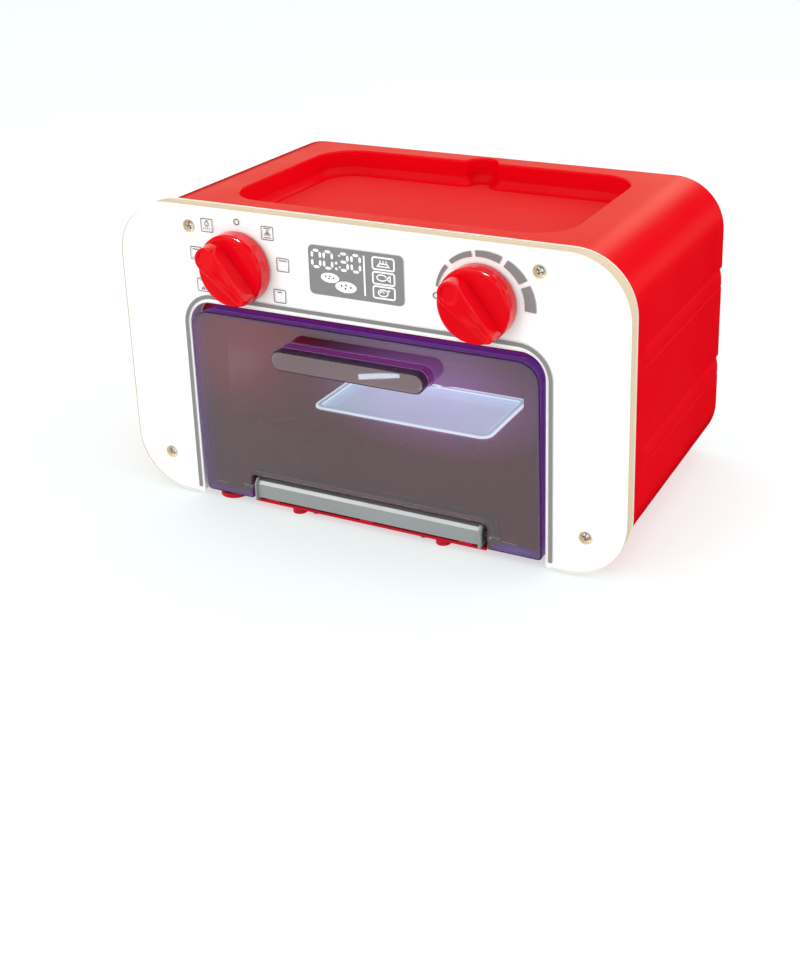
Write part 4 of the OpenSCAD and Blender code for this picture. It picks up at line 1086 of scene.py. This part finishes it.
def picture(b, cx, cz, kind):
    """A way to heat, as a square with a few strokes."""
    h, line = 3.85, 0.42
    ribbon(b, outline([(cx - h, cz - h, 0.5), (cx + h, cz - h, 0.5), (cx + h, cz + h, 0.5),
                       (cx - h, cz + h, 0.5)], 0, 3), line, closed=True)
    if kind == "lamp":
        ribbon(b, oval(cx, cz + 0.9, 1.15, 1.5, 12), line, closed=True)
        ribbon(b, [(cx, cz + 2.3), (cx, cz + 3.0)], 0.8)
        for dx in (-1.7, -0.6, 0.6, 1.7):
            ribbon(b, [(cx + dx, cz - 1.4), (cx + dx * 1.3, cz - 2.3)], line)
    if kind == "fan":
        for turn in (0, 120, 240):
            c, s = math.cos(math.radians(turn)), math.sin(math.radians(turn))
            blade = [(0.55 * math.sin(math.pi * k / 8), 1.0 - 0.9 * math.cos(math.pi * k / 8))
                     for k in range(16)]
            ribbon(b, [(cx + x * c + u * s, cz + u * c - x * s) for x, u in blade], 0.36,
                   closed=True)
    if kind in ("fan", "heat"):
        ribbon(b, [(cx - 2.3, cz + 2.8), (cx + 2.3, cz + 2.8)], line)
    if kind in ("fan", "both"):
        ribbon(b, [(cx - 2.3, cz - 2.6), (cx + 2.3, cz - 2.6)], line)
    if kind in ("both", "grill"):
        ribbon(b, [(cx - 2.5 + 1.0 * k, cz + (2.7 if k % 2 else 2.1)) for k in range(6)], line)
    if kind == "small":
        ribbon(b, [(cx - 1.5 + 1.0 * k, cz + (2.1 if k % 2 else 2.7)) for k in range(4)], line)
    if kind == "heat":
        ribbon(b, [(cx - 1.0, cz - 2.6), (cx + 1.0, cz - 2.6), (cx, cz - 1.1)], line,
               closed=True)


SEGMENTS = {"a": ((0, 1), (1, 1)), "b": ((1, 1), (1, 0.5)), "c": ((1, 0.5), (1, 0)),
            "d": ((0, 0), (1, 0)), "e": ((0, 0.5), (0, 0)), "f": ((0, 1), (0, 0.5)),
            "g": ((0, 0.5), (1, 0.5))}
DIGITS = {"0": "abcdef", "3": "abcdg"}


def display(b, dark):
    """What stands on the display: a time, two ovals and three small drawings."""
    y = PRINT_Y * 2

    def digit(char, x, z):
        w, h = 5.1, 9.5
        for name in DIGITS[char]:
            (x0, z0), (x1, z1) = SEGMENTS[name]
            p, q = Vector((x + x0 * w, z + z0 * h)), Vector((x + x1 * w, z + z1 * h))
            d = (q - p).normalized()
            p, q, n = p + d * 0.5, q - d * 0.5, Vector((-d.y, d.x)) * 0.8
            blob(b, [tuple(v) for v in (p, p + d * 0.9 - n, q - d * 0.9 - n, q,
                                        q - d * 0.9 + n, p + d * 0.9 + n)], y)

    for char, x in (("0", -26.7), ("0", -19.1), ("3", -9.2), ("0", -1.5)):
        digit(char, x, 159.2)
    for x, z, r in ((-11.4, 162.8, 0.85), (-11.4, 159.5, 0.85), (-9.2, 167.3, 0.6),
                    (-9.2, 160.6, 0.6)):
        blob(b, circle(x, z, r, 16), y)
    ribbon(b, [(6.2, 146.1), (6.2, 169.2)], 1.05, y=y)
    for z in (165.9, 157.5, 149.3):
        box = [(11.5, z - 3.4, 1.2), (24.8, z - 3.4, 1.2), (24.8, z + 3.4, 1.2),
               (11.5, z + 3.4, 1.2)]
        ribbon(b, outline(box, 0, 4), 0.95, closed=True, y=y)
    # A steaming dish, a fish and a roast.
    cx = 18.15
    ribbon(b, [(cx - 3.6, 164.3), (cx + 3.6, 164.3), (cx + 2.3, 165.9), (cx - 2.3, 165.9)], 0.75,
           closed=True, y=y)
    for dx in (-1.9, 0.0, 1.9):
        ribbon(b, [(cx + dx, 166.4), (cx + dx, 167.8)], 0.6, y=y)
    ribbon(b, oval(cx - 1.2, 157.8, 3.0, 1.7, 14), 0.7, closed=True, y=y)
    ribbon(b, [(cx + 1.9, 157.7), (cx + 4.0, 159.2), (cx + 4.0, 156.0)], 0.7, closed=True, y=y)
    ribbon(b, oval(cx - 0.6, 149.1, 3.0, 1.9, 14), 0.75, closed=True, y=y)
    ribbon(b, oval(cx - 1.2, 149.0, 1.3, 0.9, 10, 12), 0.6, y=y)
    ribbon(b, [(cx + 2.0, 150.2), (cx + 3.6, 151.0)], 1.0, y=y)
    # Two ovals with holes.
    for cx, cz, w, h, r, holes in (
            (-15.8, 153.7, 5.9, 2.9, 0.5, ((-2.7, 0.6), (0, 0.95), (-0.6, -0.5), (2.2, 0.0))),
            (-5.8, 149.4, 6.8, 3.3, 0.6, ((-2.8, 0.6), (0.1, 1.2), (-0.3, -0.75), (3.0, 0.1)))):
        blob(b, oval(cx, cz, w, h, 24), y)
        for x, z in holes:
            blob(dark, circle(cx + x, cz + z, r, 12), PRINT_Y * 3)


prints()


# ---- Finishes of the CAD nodes that stay -----------------------------------------------------

def dress(name, slot):
    node = NODES[name]
    node.data.materials.clear()
    node.data.materials.append(MAT[slot])
    weld = node.modifiers.new("weld", "WELD")
    weld.merge_threshold = 0.00001
    weighted = node.modifiers.new("weighted", "WEIGHTED_NORMAL")
    weighted.keep_sharp = True


KEPT = {
    "inner_housing": "dark_red_plastic", "light_board": "circuit_board",
    "leds": "led_lens", "light_board_screws": "steel", "base_plate": "base_red",
    "base_screws": "steel", "hinge_cover_screws": "steel", "hinge_rod": "steel",
    "left_contact_disc": "black_plastic", "left_wiper": "spring_brass",
    "left_knob_screw": "steel", "right_contact_disc": "black_plastic",
    "right_wiper": "spring_brass", "right_knob_screw": "steel",
    "control_board": "circuit_board", "contact_tracks": "copper",
    "board_components": "black_plastic", "control_board_screws": "steel",
    "speaker_frame": "speaker_metal", "speaker_cone": "speaker_paper",
    "speaker_screws": "steel", "battery_cover": "red_plastic", "battery_cover_screw": "steel",
    "batteries": "battery_can", "battery_contacts": "contact_steel", "power_wires": "red_wire",
    "light_wires": "white_wire", "speaker_wires": "black_wire"}
for name, slot in KEPT.items():
    dress(name, slot)
